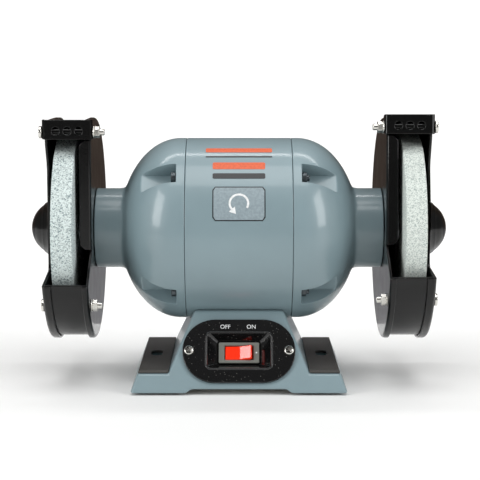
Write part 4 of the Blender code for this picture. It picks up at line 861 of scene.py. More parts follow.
def fold(bm, points, depths, face, way):
    """A strip folded square to the flat sheet. Gives back the corners that it shares with the flat."""
    radius = bpy.context.scene.grinder_sizes.fold_radius
    rings = [[] for _ in range(6)]
    for i, point in enumerate(points):
        before = Vector(points[max(i - 1, 0)])
        after = Vector(points[min(i + 1, len(points) - 1)])
        along = (after - before).normalized()
        outward = Vector((along.y, -along.x))
        for k in range(5):
            angle = math.radians(90 * k / 4)
            spot = Vector(point) - outward * radius * (1 - math.sin(angle))
            rings[k].append((face + way * radius * (1 - math.cos(angle)), *spot))
        rings[5].append((face + way * depths[i], *point))
    rows = [[bm.verts.new(spot) for spot in ring] for ring in rings]
    join_rows(bm, rows)
    return rows[0]


def fill_flat(bm, edge, loops):
    """Fills the flat between an edge of corners and loops of hole corners with triangles."""
    edges = []
    for run in (edge, *loops):
        for i, corner in enumerate(run):
            after = run[(i + 1) % len(run)]
            edges.append(bm.edges.get((corner, after)) or bm.edges.new((corner, after)))
    bmesh.ops.triangle_fill(bm, edges=edges, use_beauty=True)


def bolt_places(side):
    """(ahead, up) of a guard's three bolts, taken from where they stand in the frame."""
    back = guard_place(side).inverted()
    places = {}
    for name in ("upper", "lower", "rear"):
        low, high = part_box(f"guard_bolt_{side}_{name}")
        spot = back @ ((low + high) / 2)
        places[name] = (spot.y, spot.z)
    return places


def holes(bm, spots, radius, out, steps=24):
    made = []
    for ahead, up in spots:
        made.append([bm.verts.new((out, y, z)) for y, z, _ in circle(radius, 0, steps, (ahead, up))])
    return made


def notch(front, middle, radius, steps=18):
    """The upper bolt's hole breaks out of the front edge: its rim from below, round the inside, to above."""
    ahead, up = middle
    start_at = -math.acos((front - ahead) / radius)
    rim = []
    for i in range(steps + 1):
        angle = start_at - (2 * math.pi + 2 * start_at) * i / steps
        rim.append((ahead + radius * math.cos(angle), up + radius * math.sin(angle)))
    return rim


def guard_sheet(bm, way, name, side, body="root", sheet=SHEET):
    """Finishes a piece of a guard: a wall to its sheet, rounded cut edges and the black coat."""
    node = f"{name}_{side}"
    mesh = settled(bm, node, guard_place(side), sheet)
    edge = bpy.context.scene.grinder_sizes.sheet_rounding
    piece(f"{way}_{node}", mesh, "black_powder_coat_on_steel", body, [node], edge)


def make_guard_plate(side):
    middle = SHEET / 2
    face = PLATE_FACE + middle
    front = GUARD_FRONT - middle
    bm = bmesh.new()
    lip = guard_outline(LIP_RADIUS - middle, front)
    edge = fold(bm, lip, [PLATE_LIP - middle] * len(lip), face, 1)
    ups = [MOUTH_FLOOR, MOUTH_FLOOR + 0.002, MOUTH_FLOOR + 0.004, 0.0, 0.02, 0.04, 0.06, RETURN_TOP - 0.004]
    ups += [RETURN_TOP - 0.002, RETURN_TOP]
    depths = [0.004, 0.0065] + [RETURN_WIDTH - middle] * 6 + [0.0065, 0.004]
    corner = bm.verts.new((face, front, MOUTH_FLOOR - 0.002))
    flange = fold(bm, [(front, up) for up in ups], depths, face, 1)
    relief = bm.verts.new((face, front, RETURN_TOP + 0.002))
    places = bolt_places(side)
    rim = [bm.verts.new((face, *spot)) for spot in notch(front, places.pop("upper"), BOLT_HOLE)]
    opening = holes(bm, [(0.0, 0.0)], SHAFT_OPENING, face, 48)
    opening += holes(bm, places.values(), BOLT_HOLE, face)
    fill_flat(bm, edge + [corner] + flange + [relief] + rim, opening)
    guard_sheet(bm, "pressed", "guard_plate", side)


def dome_rings():
    """(radius, rise) at the middle of the sheet, from the flare up to the tip of the dome."""
    flare = bpy.context.scene.grinder_sizes.dome_flare
    foot = [(flare + 0.002, 0.0), (flare - 0.001, 0.0), (0.0235, 0.0016), (0.0196, 0.0052)]
    rings = rounded(foot, 0.006, False, 5) + [(0.0190, 0.0064), (0.0186, 0.0067)]
    centre = 0.0176 - 0.0215
    for i in range(1, 13):
        angle = math.radians(30.0 + 60.0 * i / 12)
        rings.append((0.0209 * math.cos(angle), centre + 0.0209 * math.sin(angle)))
    return rings


def make_guard_cover(side):
    middle = SHEET / 2
    face = COVER_FACE - middle
    front = GUARD_FRONT - middle
    bm = bmesh.new()
    lip = guard_outline(LIP_RADIUS - middle, front)
    edge = fold(bm, lip, [COVER_LIP - middle] * len(lip), face, -1)
    run = [tuple(edge[-1].co.yz), (COVER_FRONT, -0.029, 0.004), (COVER_FRONT, 0.050, 0.006)]
    places = bolt_places(side)
    rim = notch(front, places.pop("upper"), BOLT_HOLE)
    run += [(front, 0.070, 0.003), rim[0]]
    free = [bm.verts.new((face, *spot)) for spot in rounded(run, 0.004, closed=False)[1:-1] + rim]
    rings = []
    for radius, rise in dome_rings():
        rings.append([bm.verts.new((face + rise, y, z)) for y, z, _ in circle(radius, 0, 72)])
    join_rows(bm, rings, closed=True)
    fill_flat(bm, edge + free, [rings[0]] + holes(bm, places.values(), BOLT_HOLE, face))
    guard_sheet(bm, "pressed", "guard_cover", side)


def make_guard_band(side):
    middle = SHEET / 2
    radius = LIP_RADIUS - SHEET - 0.0006 - middle
    low = PLATE_FACE + SHEET + FIT
    high = COVER_FACE - SHEET - FIT
    path = guard_outline(radius, GUARD_FRONT - SHEET - FIT)
    bm = bmesh.new()
    outs = [low + (high - low) * i / 4 for i in range(5)]
    rows = [[bm.verts.new((out, *spot)) for spot in path] for out in outs]
    join_rows(bm, rows)
    guard_sheet(bm, "rolled", "guard_band", side)


DEFLECTOR_SHEET = 0.0015
DEFLECTOR_BOTTOM = 0.0730
DEFLECTOR_TOP = 0.0880
DEFLECTOR_BACK = 0.0400
DEFLECTOR_FRONT = 0.0510
DEFLECTOR_HOLE_UP = 0.0795


def make_deflector(side):
    sizes = bpy.context.scene.grinder_sizes
    middle = DEFLECTOR_SHEET / 2
    near, far = PLATE_FACE - FIT - middle, COVER_FACE + FIT + middle
    front = DEFLECTOR_FRONT - middle
    bend = 0.0022
    bottom, top = DEFLECTOR_BOTTOM, DEFLECTOR_TOP
    bm = bmesh.new()
    columns = []
    for k in range(6):
        angle = math.radians(90 * k / 5)
        columns.append((near + bend * (1 - math.cos(angle)), front - bend * (1 - math.sin(angle))))
    columns += [(near + far - out, ahead) for out, ahead in reversed(columns)]
    rows = [[bm.verts.new((out, ahead, up)) for out, ahead in columns] for up in (bottom, top)]
    for i in range(len(columns) - 1):
        if i != 5:
            bm.faces.new((rows[0][i], rows[0][i + 1], rows[1][i + 1], rows[1][i]))
    centre = (near + far) / 2
    round_holes = []
    for i in (-1, 0, 1):
        spot = (centre + i * sizes.deflector_pitch, DEFLECTOR_HOLE_UP)
        ring = circle(sizes.deflector_hole, 0, 32, spot)
        round_holes.append([bm.verts.new((out, front, up)) for out, up, _ in ring])
    fill_flat(bm, [rows[0][5], rows[0][6], rows[1][6], rows[1][5]], round_holes)
    pivot = pivot_place("left")
    for column, out in ((0, near), (-1, far)):
        start_low, start_high = rows[0][column], rows[1][column]
        run = [tuple(start_low.co.yz), (DEFLECTOR_BACK, bottom, 0.005)]
        run += [(DEFLECTOR_BACK, top, 0.005), tuple(start_high.co.yz)]
        leg = [bm.verts.new((out, *spot)) for spot in rounded(run, 0.004, closed=False, steps=6)[1:-1]]
        fill_flat(bm, [start_low, *leg, start_high], holes(bm, [tuple(pivot)], BOLT_HOLE, out))
    guard_sheet(bm, "folded", "spark_deflector", side, f"deflector_{side}", DEFLECTOR_SHEET)


# Screws and bolts, all made by one tree of nodes

def fastener_tree():
    """A head, washers, a shank and a nut along Z, placed at each point of a mesh.

    Z = 0 is the face that the head's washer rests on. A size of nothing leaves that piece out.
    """
    tree, given = new_tree("fastener", FASTENER_SIZES, ("Head Sides", "Int"), ("Turn", "Vector"))
    whole = add(tree, "GeometryNodeJoinGeometry")

    def total(*terms):
        """A node output that sums sockets, each with a factor."""
        out = None
        for socket, factor in terms:
            share = add(tree, "ShaderNodeMath", {0: socket, 1: factor}, operation="MULTIPLY").outputs[0]
            out = share if out is None else add(tree, "ShaderNodeMath", {0: out, 1: share}).outputs[0]
        return out

    def lifted(shape, height, turn=0.0):
        """The shape at a height, turned about Z."""
        lift = add(tree, "ShaderNodeCombineXYZ", {"Z": height}).outputs["Vector"]
        place = {"Geometry": shape, "Translation": lift, "Rotation": (0, 0, turn)}
        return add(tree, "GeometryNodeTransform", place).outputs["Geometry"]

    def where_wanted(wanted, choices):
        """The true choice where a size is more than nothing, and the false one, or none, where it isn't."""
        more = add(tree, "FunctionNodeCompare", {"A": wanted, "B": 0.0}, operation="GREATER_THAN")
        choices = {"Switch": more.outputs["Result"], **choices}
        return add(tree, "GeometryNodeSwitch", choices, input_type="GEOMETRY").outputs["Output"]

    def bar(sides, radius, depth, middle):
        """A closed bar, left out where its radius is nothing."""
        shape = add(tree, "GeometryNodeMeshCylinder", {"Vertices": sides, "Radius": radius, "Depth": depth})
        return where_wanted(radius, {"True": lifted(shape.outputs["Mesh"], middle)})

    washer_deep, nut_washer_deep = given["Washer Thickness"], given["Nut Washer Thickness"]
    head_deep, nut_deep, nut_place = given["Head Height"], given["Nut Height"], given["Nut Place"]
    head_middle = total((washer_deep, 1.0), (head_deep, 0.5))
    head = bar(given["Head Sides"], given["Head Radius"], head_deep, head_middle)
    head_top = total((washer_deep, 1.0), (head_deep, 1.0))
    for turn in (0.0, math.pi / 2):
        length = total((given["Head Radius"], 1.15))
        deep = total((given["Recess Depth"], 2.0))
        block = add(tree, "ShaderNodeCombineXYZ", {"X": length, "Y": given["Recess Width"], "Z": deep})
        cube = add(tree, "GeometryNodeMeshCube", {"Size": block.outputs["Vector"]})
        slot = {"Mesh 1": head, "Mesh 2": lifted(cube.outputs["Mesh"], head_top, turn)}
        slotted = add(tree, "GeometryNodeMeshBoolean", slot, operation="DIFFERENCE")
        head = where_wanted(given["Recess Width"], {"False": head, "True": slotted.outputs["Mesh"]})
    washer = bar(32, given["Washer Radius"], washer_deep, total((washer_deep, 0.5)))
    shank = bar(24, given["Shank Radius"], given["Shank Length"], total((given["Shank Length"], -0.5)))
    nut_washer_middle = total((nut_place, -1.0), (nut_washer_deep, -0.5))
    nut_washer = bar(32, given["Nut Washer Radius"], nut_washer_deep, nut_washer_middle)
    nut_middle = total((nut_place, -1.0), (nut_washer_deep, -1.0), (nut_deep, -0.5))
    nut = bar(6, given["Nut Radius"], nut_deep, nut_middle)
    for part in (head, washer, shank, nut_washer, nut):
        tree.links.new(part, whole.inputs["Geometry"])
    dots = add(tree, "GeometryNodeMeshToPoints", {"Mesh": given["Geometry"]}).outputs["Points"]
    copies = {"Points": dots, "Instance": whole.outputs["Geometry"], "Rotation": given["Turn"]}
    placed = add(tree, "GeometryNodeInstanceOnPoints", copies)
    finish_tree(tree, placed.outputs["Instances"], given["Metal"])
    return tree


FASTENER_SIZES = (
    "Head Radius",
    "Head Height",
    "Recess Width",
    "Recess Depth",
    "Washer Radius",
    "Washer Thickness",
    "Shank Radius",
    "Shank Length",
    "Nut Place",
    "Nut Washer Radius",
    "Nut Washer Thickness",
    "Nut Radius",
    "Nut Height",
)


def make_fasteners(name, spots, turn, nodes, rounding, sides=32, metal="bright_zinc_plate", **sizes):
    """One mesh of like fasteners whose heads rest at the spots and point along the turned Z axis."""
    dots = bpy.data.meshes.new(name)
    dots.from_pydata([tuple(spot) for spot in spots], [], [])
    values = {size_name: 0.0 for size_name in FASTENER_SIZES}
    values.update({key.replace("_", " ").title(): value for key, value in sizes.items()})
    values.update({"Head Sides": sides, "Turn": turn, "Metal": bpy.data.materials[metal]})
    mesh = run_tree(bpy.data.node_groups.get("fastener") or fastener_tree(), dots, values)
    return piece(name, mesh, metal, nodes=nodes, rounding=rounding)


def shank_painted_shade_between(mesh, place, low, high):
    """Gives the stretch of a guard bolt between the side plates the guards' black coat as painted shade, so
    the deflector's holes in front of it look dark.
    """
    bm = bmesh.new()
    bm.from_mesh(mesh)
    bmesh.ops.transform(bm, matrix=place.inverted(), verts=bm.verts)
    for out in (low, high):
        every = bm.verts[:] + bm.edges[:] + bm.faces[:]
        bmesh.ops.bisect_plane(bm, geom=every, dist=1e-6, plane_co=(out, 0, 0), plane_no=(1, 0, 0))
    for face in bm.faces:
        face.material_index = int(low < face.calc_center_median().x < high)
    bmesh.ops.transform(bm, matrix=place, verts=bm.verts)
    mesh.materials.append(bpy.data.materials["black_powder_coat_on_steel"])
    bm.to_mesh(mesh)
    bm.free()


def make_tie_bolts():
    spots, nodes = [], []
    for name in ("upper_front", "upper_rear", "lower_front", "lower_rear"):
        node = f"tie_bolt_{name}"
        low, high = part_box(node)
        centre = (low + high) / 2
        spots.append((-0.0483, centre.y, centre.z))
        nodes.append(node)
    # the tie bolts are dark grey metal, darkened further as painted shade of the bells' pockets
    make_fasteners(
        "dark_tie_bolts_painted_shade", spots, (0, math.radians(-90), 0), nodes, 0.0004, 32, "oil_blackened_steel",
        head_radius=0.0045, head_height=0.0036, recess_width=0.0011, recess_depth=0.0012,
        shank_radius=0.0025, shank_length=0.1022, nut_place=0.0966, nut_radius=0.0045, nut_height=0.0036,
    )


def make_guard_bolts(side):
    """Pan heads outside the cover, with a washer and a hexagon nut on the motor's side."""
    place = guard_place(side)
    turn = (0, math.radians(90) * SIDES[side], 0)
    for name, (ahead, up) in bolt_places(side).items():
        bracket = DEFLECTOR_SHEET + FIT if name == "upper" else 0.0
        seat = COVER_FACE + FIT + bracket
        node = f"guard_bolt_{side}_{name}"
        reach = COVER_FACE - PLATE_FACE + 2 * FIT + 2 * bracket
        bolt = make_fasteners(
            f"zinc_{node}", [place @ Vector((seat, ahead, up))], turn, [node], 0.0004, 32,
            head_radius=0.0047, head_height=0.0022, recess_width=0.0011, recess_depth=0.0010,
            shank_radius=0.0025, shank_length=reach + 0.0085, nut_place=reach,
            nut_washer_radius=0.0050, nut_washer_thickness=0.0010, nut_radius=0.0046, nut_height=0.0040,
        )
        # painted shade: the shank between the side plates is coloured black
        shank_painted_shade_between(bolt.data, place, PLATE_FACE + SHEET, COVER_FACE - SHEET)


def make_panel_screws():
    spots = [PANEL @ Vector((sign * PANEL_SCREW_OUT, 0.0, 0.0026)) for sign in (-1, 1)]
    nodes = ["switch_plate_screw_left", "switch_plate_screw_right"]
    make_fasteners(
        "zinc_panel_screws", spots, (math.pi / 2 - LEAN, 0, 0), nodes, 0.0007, 32,
        head_radius=0.00365, head_height=0.0020, recess_width=0.0010, recess_depth=0.0012,
        shank_radius=0.0016, shank_length=0.0080,
    )


def make_base_bolts():
    low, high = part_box("base_bolt_left")
    spots = [(sign * BASE_BOLT_OUT, AXIS.y, low.z + 0.004) for sign in (-1, 1)]
    make_fasteners(
        "zinc_base_bolts", spots, (math.pi, 0, 0), ["base_bolt_left", "base_bolt_right"], 0.0003, 6,
        head_radius=0.0050, head_height=0.0040, shank_radius=0.0030, shank_length=high.z - low.z - 0.004,
    )


# Base

FOOT_HALF_WIDTH = 0.0835
FOOT_TOP_HALF_WIDTH = 0.0775
TOWER_FOOT_HALF_WIDTH = 0.0540
TOWER_TOP_HALF_WIDTH = 0.0343
BASE_TOP = 0.0600
BASE_WALL = 0.0030
SADDLE_WALL = 0.0040
SLOT_OUT = 0.0662
SLOT_WIDTH = 0.0090
SLOT_LENGTH = 0.0200
BASE_BOLT_OUT = 0.022
FOOT_SPOTS = [(x, y) for x in (-0.066, 0.066) for y in (-0.052, 0.052)]
PANEL_SCREW_OUT = 0.0383
PANEL_SCREW_HOLE = 0.0019


def sloped(outline, inset):
    """A block whose front outline of (across, height) points is carried back between the leaning sides."""
    loops = []
    for sign in (-1, 1):
        loop = []
        for across, height in outline:
            reach = HALF_DEPTH - height * math.tan(LEAN) - inset / math.cos(LEAN)
            loop.append((across, sign * reach, height))
        loops.append(loop)
    return settled(skin(loops), "sloped")


def mirrored(half):
    return half + [(-point[0], *point[1:]) for point in reversed(half)]


def foot_half_width(height):
    top = PAD_LOW.z - FIT
    return FOOT_HALF_WIDTH - (FOOT_HALF_WIDTH - FOOT_TOP_HALF_WIDTH) * height / top


def tower_half_width(height):
    share = (height - PAD_LOW.z + FIT) / (BASE_TOP - PAD_LOW.z + FIT)
    return TOWER_FOOT_HALF_WIDTH + (TOWER_TOP_HALF_WIDTH - TOWER_FOOT_HALF_WIDTH) * share


def round_tool(radius, start_at, end_at, place, steps=48):
    return settled(skin([circle(radius, start_at, steps), circle(radius, end_at, steps)]), "tool", place)


def slot_tool(side, low, high):
    out = SIDES[side] * SLOT_OUT
    loops = []
    for height in (low, high):
        loop = rectangle(SLOT_WIDTH, SLOT_LENGTH, SLOT_WIDTH / 2 - 0.00001, height, 10)
        loops.append([(x + out, y, z) for x, y, z in loop])
    return settled(skin(loops), "slot")


def upright_tools(radius, low, high, spots, steps=24):
    """Upright round tools at (x, y) spots."""
    return [round_tool(radius, low, high, Matrix.Translation((x, y, 0)), steps) for x, y in spots]


def screw_tools(low, high):
    """Tools for the holes of the switch plate's two screws."""
    spots = [Matrix.Translation((sign * PANEL_SCREW_OUT, 0, 0)) for sign in (-1, 1)]
    return [round_tool(PANEL_SCREW_HOLE, low, high, PANEL @ spot, 24) for spot in spots]


def make_base():
    sizes = bpy.context.scene.grinder_sizes
    foot_top = PAD_LOW.z - FIT
    bottom = BASE_LOW.z
    outline = mirrored([
        (0.0366, bottom + 0.0027),
        (0.0398, bottom),
        (foot_half_width(bottom), bottom),
        (FOOT_TOP_HALF_WIDTH, foot_top),
        (TOWER_FOOT_HALF_WIDTH, foot_top),
        (TOWER_TOP_HALF_WIDTH, BASE_TOP),
    ])
    under = bottom - 0.002
    top = BASE_TOP - BASE_WALL
    hollow = mirrored([
        (foot_half_width(under) - BASE_WALL, under),
        (foot_half_width(foot_top - BASE_WALL) - BASE_WALL, foot_top - BASE_WALL),
        (tower_half_width(foot_top - BASE_WALL) - BASE_WALL, foot_top - BASE_WALL),
        (tower_half_width(top) - BASE_WALL, top),
    ])
    along = shaft_place("right")
    saddle = round_tool(SHELL_RADIUS + FIT + SADDLE_WALL, -0.06, 0.06, along, 192)
    cavity = cut(sloped(hollow, BASE_WALL), [saddle])
    cavity = cut(cavity, upright_tools(0.005, 0.0066, foot_top, FOOT_SPOTS, 48))
    tools = [cavity, round_tool(SHELL_RADIUS + FIT, -0.09, 0.09, along, 192)]
    tools += [slot_tool(side, 0.0063, foot_top + 0.002) for side in SIDES]
    tools += upright_tools(0.0028, 0.0, 0.0113, FOOT_SPOTS)
    tools += upright_tools(0.0033, 0.040, 0.056, [(sign * BASE_BOLT_OUT, AXIS.y) for sign in (-1, 1)])
    tools += upright_tools(0.006, 0.040, 0.056, [(0, AXIS.y)])
    well = [rectangle(0.0366, 0.0222, 0.002, -0.0088), rectangle(0.0570, 0.0343, 0.003, 0.0040)]
    tools.append(settled(skin(well), "well", PANEL))
    tools += screw_tools(-0.008, 0.003)
    tools.append(round_tool(0.0065, -0.012, 0.003, gland_place(), 48))
    mesh = cut(sloped(outline, 0.0), tools, sizes.casting_rounding)
    piece("cast_base", mesh, "sprayed_enamel_on_casting", nodes=["base"], sharp=30.0)


def gland_place():
    """Puts Z = 0 on the leaning back of the base at the cable gland, pointing out of it."""
    low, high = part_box("cable_gland")
    height = 0.024
    back = HALF_DEPTH - height * math.tan(LEAN)
    turn = Matrix.Rotation(LEAN - math.pi / 2, 4, "X")
    return Matrix.Translation(((low.x + high.x) / 2, back, height)) @ turn


def make_foot_pad(side):
    low, high = PAD_LOW.z, PAD_HIGH.z
    sign = SIDES[side]
    outline = [
        (sign * (tower_half_width(low) + FIT), low),
        (sign * foot_half_width(low), low),
        (sign * foot_half_width(high), high),
        (sign * (tower_half_width(high) + FIT), high),
    ]
    mesh = cut(sloped(outline, 0.0), [slot_tool(side, low - 0.002, high + 0.002)])
    node = f"foot_pad_{side}"
    edge = bpy.context.scene.grinder_sizes.pad_rounding
    piece(f"moulded_{node}", mesh, "grained_moulded_polypropylene", "root", [node], edge)


def make_rubber_feet():
    for name in ("front_left", "front_right", "rear_left", "rear_right"):
        node = f"rubber_foot_{name}"
        low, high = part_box(node)
        centre = (low + high) / 2
        profile = [(0.0, high.z, 0), (0.0025, high.z), (0.0025, 0.0045)]
        profile += [(0.0070, 0.0045), (0.0064, 0.0), (0.0, 0.0, 0)]
        profile = rounded(profile, 0.0006, closed=False)
        mesh = turned(node, profile, Matrix.Translation((centre.x, centre.y, 0)), 48)
        piece(f"moulded_{node}", mesh, "moulded_rubber", nodes=[node])


def make_cable_gland():
    profile = rounded([
        (0.0036, 0.0033, 0.0012), (0.0095, 0.0033, 0.0010), (0.0095, 0.0003),
        (0.0062, 0.0003), (0.0062, -0.0147), (0.0036, -0.0147),
    ], 0.0005)
    mesh = turned("cable_gland", profile, gland_place(), 64)
    piece("moulded_cable_gland", mesh, "moulded_rubber", nodes=["cable_gland"])


# Switch

PLATE_FRONT = 0.0023             # the switch plate's face, in front of the panel
WELL_FLOOR = PLATE_FRONT - 0.0070
BEZEL_FACE = WELL_FLOOR + FIT + 0.0018


def make_switch_plate():
    face = PLATE_FRONT
    floor = WELL_FLOOR
    sections = [
        (0.0866, 0.0510, 0.0250, 0.0003),
        (0.0866, 0.0510, 0.0250, face - 0.0007),
        (0.0863, 0.0507, 0.0248, face - 0.0003),
        (0.0855, 0.0499, 0.0245, face),
        (0.0520, 0.0313, 0.0045, face),
        (0.0514, 0.0307, 0.0042, face + 0.0002),
        (0.0510, 0.0303, 0.0040, face + 0.0006),
        (0.0504, 0.0297, 0.0037, face + 0.0008),
        (0.0494, 0.0287, 0.0032, face + 0.0008),
        (0.0486, 0.0279, 0.0028, face + 0.0005),
        (0.0480, 0.0273, 0.0025, face - 0.0002),
        (0.0320, 0.0176, 0.0016, floor + 0.0002),
        (0.0314, 0.0170, 0.0014, floor),
        (0.0276, 0.0146, 0.0010, floor),
        (0.0276, 0.0146, 0.0010, floor - 0.0014),
        (0.0342, 0.0198, 0.0020, floor - 0.0014),
        (0.0462, 0.0254, 0.0030, 0.0003),
    ]
    loops = [rectangle(*section, steps=12) for section in sections]
    mesh = cut(settled(skin(loops, ring=True), "switch_plate", PANEL), screw_tools(-0.002, 0.004))
    piece("moulded_switch_plate", mesh, "polished_moulded_abs", nodes=["switch_plate"])


def make_switch_words():
    """The words for the two ends of the rocker and a dot beside it, printed on the plate."""
    height = bpy.context.scene.grinder_sizes.letter_height
    for word, across in (("OFF", -0.0105), ("ON", 0.0095)):
        text = bpy.data.curves.new(f"word_{word}", "FONT")
        text.body = word
        text.size = height * 1.35
        text.extrude = 0.00005
        text.align_x = "CENTER"
        item = bpy.data.objects.new(f"word_{word}", text)
        bpy.context.scene.collection.objects.link(item)
        mesh = evaluated(item)
        mesh.transform(PANEL @ Matrix.Translation((across, 0.0178, 0.00238)))
        piece(f"printed_word_{word.lower()}", mesh, "printed_white_vinyl")
    top = BEZEL_FACE + 0.00010
    profile = [(0.0, top), (0.0007, top), (0.0007, BEZEL_FACE - 0.00005), (0.0, BEZEL_FACE - 0.00005)]
    dot = turned("dot", profile, PANEL @ Matrix.Translation((0.0134, 0.0, 0)), 24)
    piece("printed_dot", dot, "printed_white_vinyl")


def make_switch_body():
    face = BEZEL_FACE
    back = face - 0.0018
    sections = [
        (0.0270, 0.0140, 0.0008, back - 0.0230),
        (0.0270, 0.0140, 0.0008, back),
        (0.0308, 0.0164, 0.0010, back),
        (0.0312, 0.0168, 0.0010, face - 0.0006),
        (0.0308, 0.0164, 0.0008, face - 0.0001),
        (0.0302, 0.0158, 0.0008, face),
        (0.0232, 0.0126, 0.0006, face),
        (0.0225, 0.0118, 0.0005, face - 0.0002),
        (0.02226, 0.0116, 0.0004, face - 0.0006),
        (0.02226, 0.0116, 0.0004, back - 0.0214),
    ]
    mesh = settled(skin([rectangle(*section) for section in sections]), "switch_body", PANEL)
    look = "textured_moulded_polycarbonate"
    piece("moulded_switch_body", mesh, look, nodes=["switch_body"])


def make_rocker():
    """Two dished halves, the left one pressed in."""
    half, rise, dish = 0.0103, 0.0030, 0.0019
    top = []
    for i in range(17):
        x = half - 2 * half * i / 16
        share = abs(x) / half
        top.append((x, rise - dish + dish * share ** 1.25))
    outline = top + [(-half, 0.0), (-half / 2, -0.0045), (half / 2, -0.0045), (half, 0.0)]
    loops = [[(x, y, z) for x, z in outline] for y in (-0.0054, 0.0, 0.0054)]
    pivot = Matrix.Translation((0, 0, -PIVOT_SINK)) @ Matrix.Rotation(math.radians(-12.0), 4, "Y")
    mesh = settled(skin(loops), "rocker", PANEL @ pivot)
    look = "tinted_polished_polycarbonate"
    piece("moulded_rocker", mesh, look, "rocker", ["switch_rocker"], 0.0006)


# Stage

SOFTBOXES = (                    # name, place, aim, width, height, watts
    ("overhead", (0.0, -0.5, 1.9), AXIS, 1.6, 1.0, 17.0),
    ("key_left", (-1.6, -1.0, 0.9), AXIS, 0.7, 1.3, 21.0),
    ("key_right", (1.6, -1.0, 0.9), AXIS, 0.7, 1.3, 20.0),
    ("backdrop", (0.0, 0.9, 2.4), (0.0, 2.8, 0.8), 3.0, 0.6, 60.0),
)
CARDS = (                        # name, cloth, shade, low and high edge
    ("dark_card", "dark_felt", "4A3E36", 0.085, 0.60),
    ("grey_card", "grey_felt", "9A999C", 0.002, 0.085),
)
CAMERA_LENS = 113.6              # millimetres
CAMERA_TILT = math.radians(7.0)
CAMERA_DISTANCE = 1.21
CAMERA_AIM = AXIS + Vector((0.0008, 0.0, -0.0100))


def make_floor():
    bm = bmesh.new()
    path = [(-3.0, 0.0), (1.6, 0.0)]
    bend = [math.radians(a) for a in range(9, 91, 9)]
    path += [(1.6 + 1.2 * math.sin(a), 1.2 - 1.2 * math.cos(a)) for a in bend]
    path.append((2.8, 4.0))
    join_rows(bm, [[bm.verts.new((x, y, z)) for y, z in path] for x in (-4.0, 4.0)])
    mesh = bpy.data.meshes.new("floor")
    bm.to_mesh(mesh)
    bm.free()
    mesh.shade_smooth()
    floor = bpy.data.objects.new("floor", mesh)
    bpy.context.scene.collection.objects.link(floor)
    tree, shader, where = start("pale_seamless_paper", linear("F4F4F3"), 0.60)
    mesh.materials.append(bpy.data.materials["pale_seamless_paper"])
    bumped(tree, shader, noise(tree, where, 300.0), 0.02, 0.0001)


def make_stage():
    make_floor()
    world = bpy.data.worlds.new("studio")
    world.use_nodes = True
    world.node_tree.nodes["Background"].inputs["Color"].default_value = (1.0, 1.0, 1.0, 1.0)
    world.node_tree.nodes["Background"].inputs["Strength"].default_value = 0.15
    bpy.context.scene.world = world
    bpy.context.scene.view_settings.view_transform = "Standard"
    for lamp in SOFTBOXES:
        softbox(*lamp)
    for sheet in CARDS:
        card(*sheet)

    lens = bpy.data.cameras.new("camera")
    lens.lens = CAMERA_LENS
    lens.sensor_width = 36.0
    lens.clip_start = 0.05
    view = bpy.data.objects.new("camera", lens)
    bpy.context.scene.collection.objects.link(view)
    back = Vector((0.0, -math.cos(CAMERA_TILT), math.sin(CAMERA_TILT)))
    view.location = CAMERA_AIM + back * CAMERA_DISTANCE
    view.rotation_euler = (CAMERA_AIM - view.location).to_track_quat("-Z", "Y").to_euler()
    bpy.context.scene.camera = view


def card(name, cloth, shade, low, high):
    """A card close behind the object, seen only in its gloss: it keeps the black enamel black on edge."""
    half, back = 0.60, 0.22
    bm = bmesh.new()
    corners = ((-half, back, low), (half, back, low), (half, back, high), (-half, back, high))
    bm.faces.new([bm.verts.new(corner) for corner in corners])
    mesh = bpy.data.meshes.new(name)
    bm.to_mesh(mesh)
    bm.free()
    start(cloth, linear(shade), 1.0)
    mesh.materials.append(bpy.data.materials[cloth])
    item = bpy.data.objects.new(name, mesh)
    bpy.context.scene.collection.objects.link(item)
    item.visible_camera = False
    item.visible_diffuse = False
    item.visible_shadow = False


def softbox(name, spot, aim, width, height, power):
    lamp = bpy.data.lights.new(name, "AREA")
    lamp.shape = "RECTANGLE"
    lamp.size = width
    lamp.size_y = height
    lamp.energy = power
    item = bpy.data.objects.new(name, lamp)
    bpy.context.scene.collection.objects.link(item)
    item.location = spot
    item.rotation_euler = (Vector(aim) - Vector(spot)).to_track_quat("-Z", "Y").to_euler()


# Operators

class MaterialsOperator(bpy.types.Operator):
    """Make every finish and dress the pieces inside the motor and the base"""
    bl_idname = "grinder.make_finishes"
    bl_label = "Finishes"

    def execute(self, context):
        make_materials()
        return {"FINISHED"}


class HousingOperator(bpy.types.Operator):
    """Add the motor shell and the two end bells with their pockets"""
    bl_idname = "grinder.add_housing"
    bl_label = "Motor Housing"

    def execute(self, context):
        make_motor_shell()
        for side in SIDES:
            make_end_bell(side)
        return {"FINISHED"}


class LabelOperator(bpy.types.Operator):
    """Add the plain label on the motor shell"""
    bl_idname = "grinder.add_label"
    bl_label = "Label"

    def execute(self, context):
        make_label()
        return {"FINISHED"}


class ShaftOperator(bpy.types.Operator):
    """Add the shaft and the bearings' balls"""
    bl_idname = "grinder.add_shaft"
    bl_label = "Shaft and Bearings"

    def execute(self, context):
        make_shaft()
        for side in SIDES:
            make_bearing_balls(side)
        return {"FINISHED"}


class WheelOperator(bpy.types.Operator):
    """Add the grinding wheels with their flanges and nuts"""
    bl_idname = "grinder.add_wheels"
    bl_label = "Wheels"

    def execute(self, context):
        for side in SIDES:
            make_wheel(side)
            make_flanges(side)
            make_spindle_nut(side)
        return {"FINISHED"}


class GuardOperator(bpy.types.Operator):
    """Add the wheel guards: inner plate, cover and band"""
    bl_idname = "grinder.add_guards"
    bl_label = "Wheel Guards"

    def execute(self, context):
        for side in SIDES:
            make_guard_plate(side)
            make_guard_cover(side)
            make_guard_band(side)
        return {"FINISHED"}


class DeflectorOperator(bpy.types.Operator):
    """Add the folded spark deflectors"""
    bl_idname = "grinder.add_deflectors"
    bl_label = "Spark Deflectors"

    def execute(self, context):
        for side in SIDES:
            make_deflector(side)
        return {"FINISHED"}


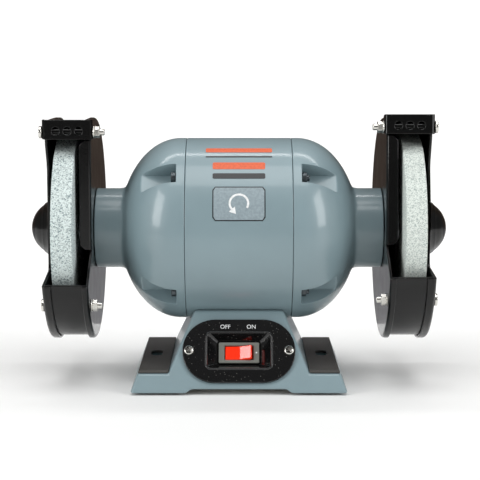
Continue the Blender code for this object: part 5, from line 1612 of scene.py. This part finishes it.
class FastenerOperator(bpy.types.Operator):
    """Add the tie bolts, guard bolts, panel screws and base bolts"""
    bl_idname = "grinder.add_fasteners"
    bl_label = "Screws and Bolts"

    def execute(self, context):
        make_tie_bolts()
        for side in SIDES:
            make_guard_bolts(side)
        make_panel_screws()
        make_base_bolts()
        return {"FINISHED"}


class BaseOperator(bpy.types.Operator):
    """Add the base with its foot pads, rubber feet and cable gland"""
    bl_idname = "grinder.add_base"
    bl_label = "Base"

    def execute(self, context):
        make_base()
        for side in SIDES:
            make_foot_pad(side)
        make_rubber_feet()
        make_cable_gland()
        return {"FINISHED"}


class SwitchOperator(bpy.types.Operator):
    """Add the switch plate, the switch and its rocker"""
    bl_idname = "grinder.add_switch"
    bl_label = "Switch"

    def execute(self, context):
        make_switch_plate()
        make_switch_words()
        make_switch_body()
        make_rocker()
        return {"FINISHED"}


class StageOperator(bpy.types.Operator):
    """Add the floor, the lights and the camera"""
    bl_idname = "grinder.add_stage"
    bl_label = "Stage"

    def execute(self, context):
        make_stage()
        return {"FINISHED"}


STEPS = (
    MaterialsOperator,
    HousingOperator,
    LabelOperator,
    ShaftOperator,
    WheelOperator,
    GuardOperator,
    DeflectorOperator,
    FastenerOperator,
    BaseOperator,
    SwitchOperator,
    StageOperator,
)


class GrinderPanel(bpy.types.Panel):
    bl_idname = "VIEW3D_PT_grinder"
    bl_label = "Bench Grinder"
    bl_space_type = "VIEW_3D"
    bl_region_type = "UI"
    bl_category = "Grinder"

    def draw(self, context):
        for group in (context.scene.grinder_sizes, context.scene.grinder_colours):
            for name in group.__annotations__:
                self.layout.prop(group, name)
        for step in STEPS:
            self.layout.operator(step.bl_idname)


CLASSES = (GrinderSizes, GrinderColours, *STEPS, GrinderPanel)


def register():
    for item in CLASSES:
        bpy.utils.register_class(item)
    bpy.types.Scene.grinder_sizes = PointerProperty(type=GrinderSizes)
    bpy.types.Scene.grinder_colours = PointerProperty(type=GrinderColours)


def unregister():
    del bpy.types.Scene.grinder_colours
    del bpy.types.Scene.grinder_sizes
    for item in reversed(CLASSES):
        bpy.utils.unregister_class(item)


def main():
    register()
    for step in STEPS:
        group, name = step.bl_idname.split(".")
        getattr(getattr(bpy.ops, group), name)()


if __name__ == "__main__":
    main()
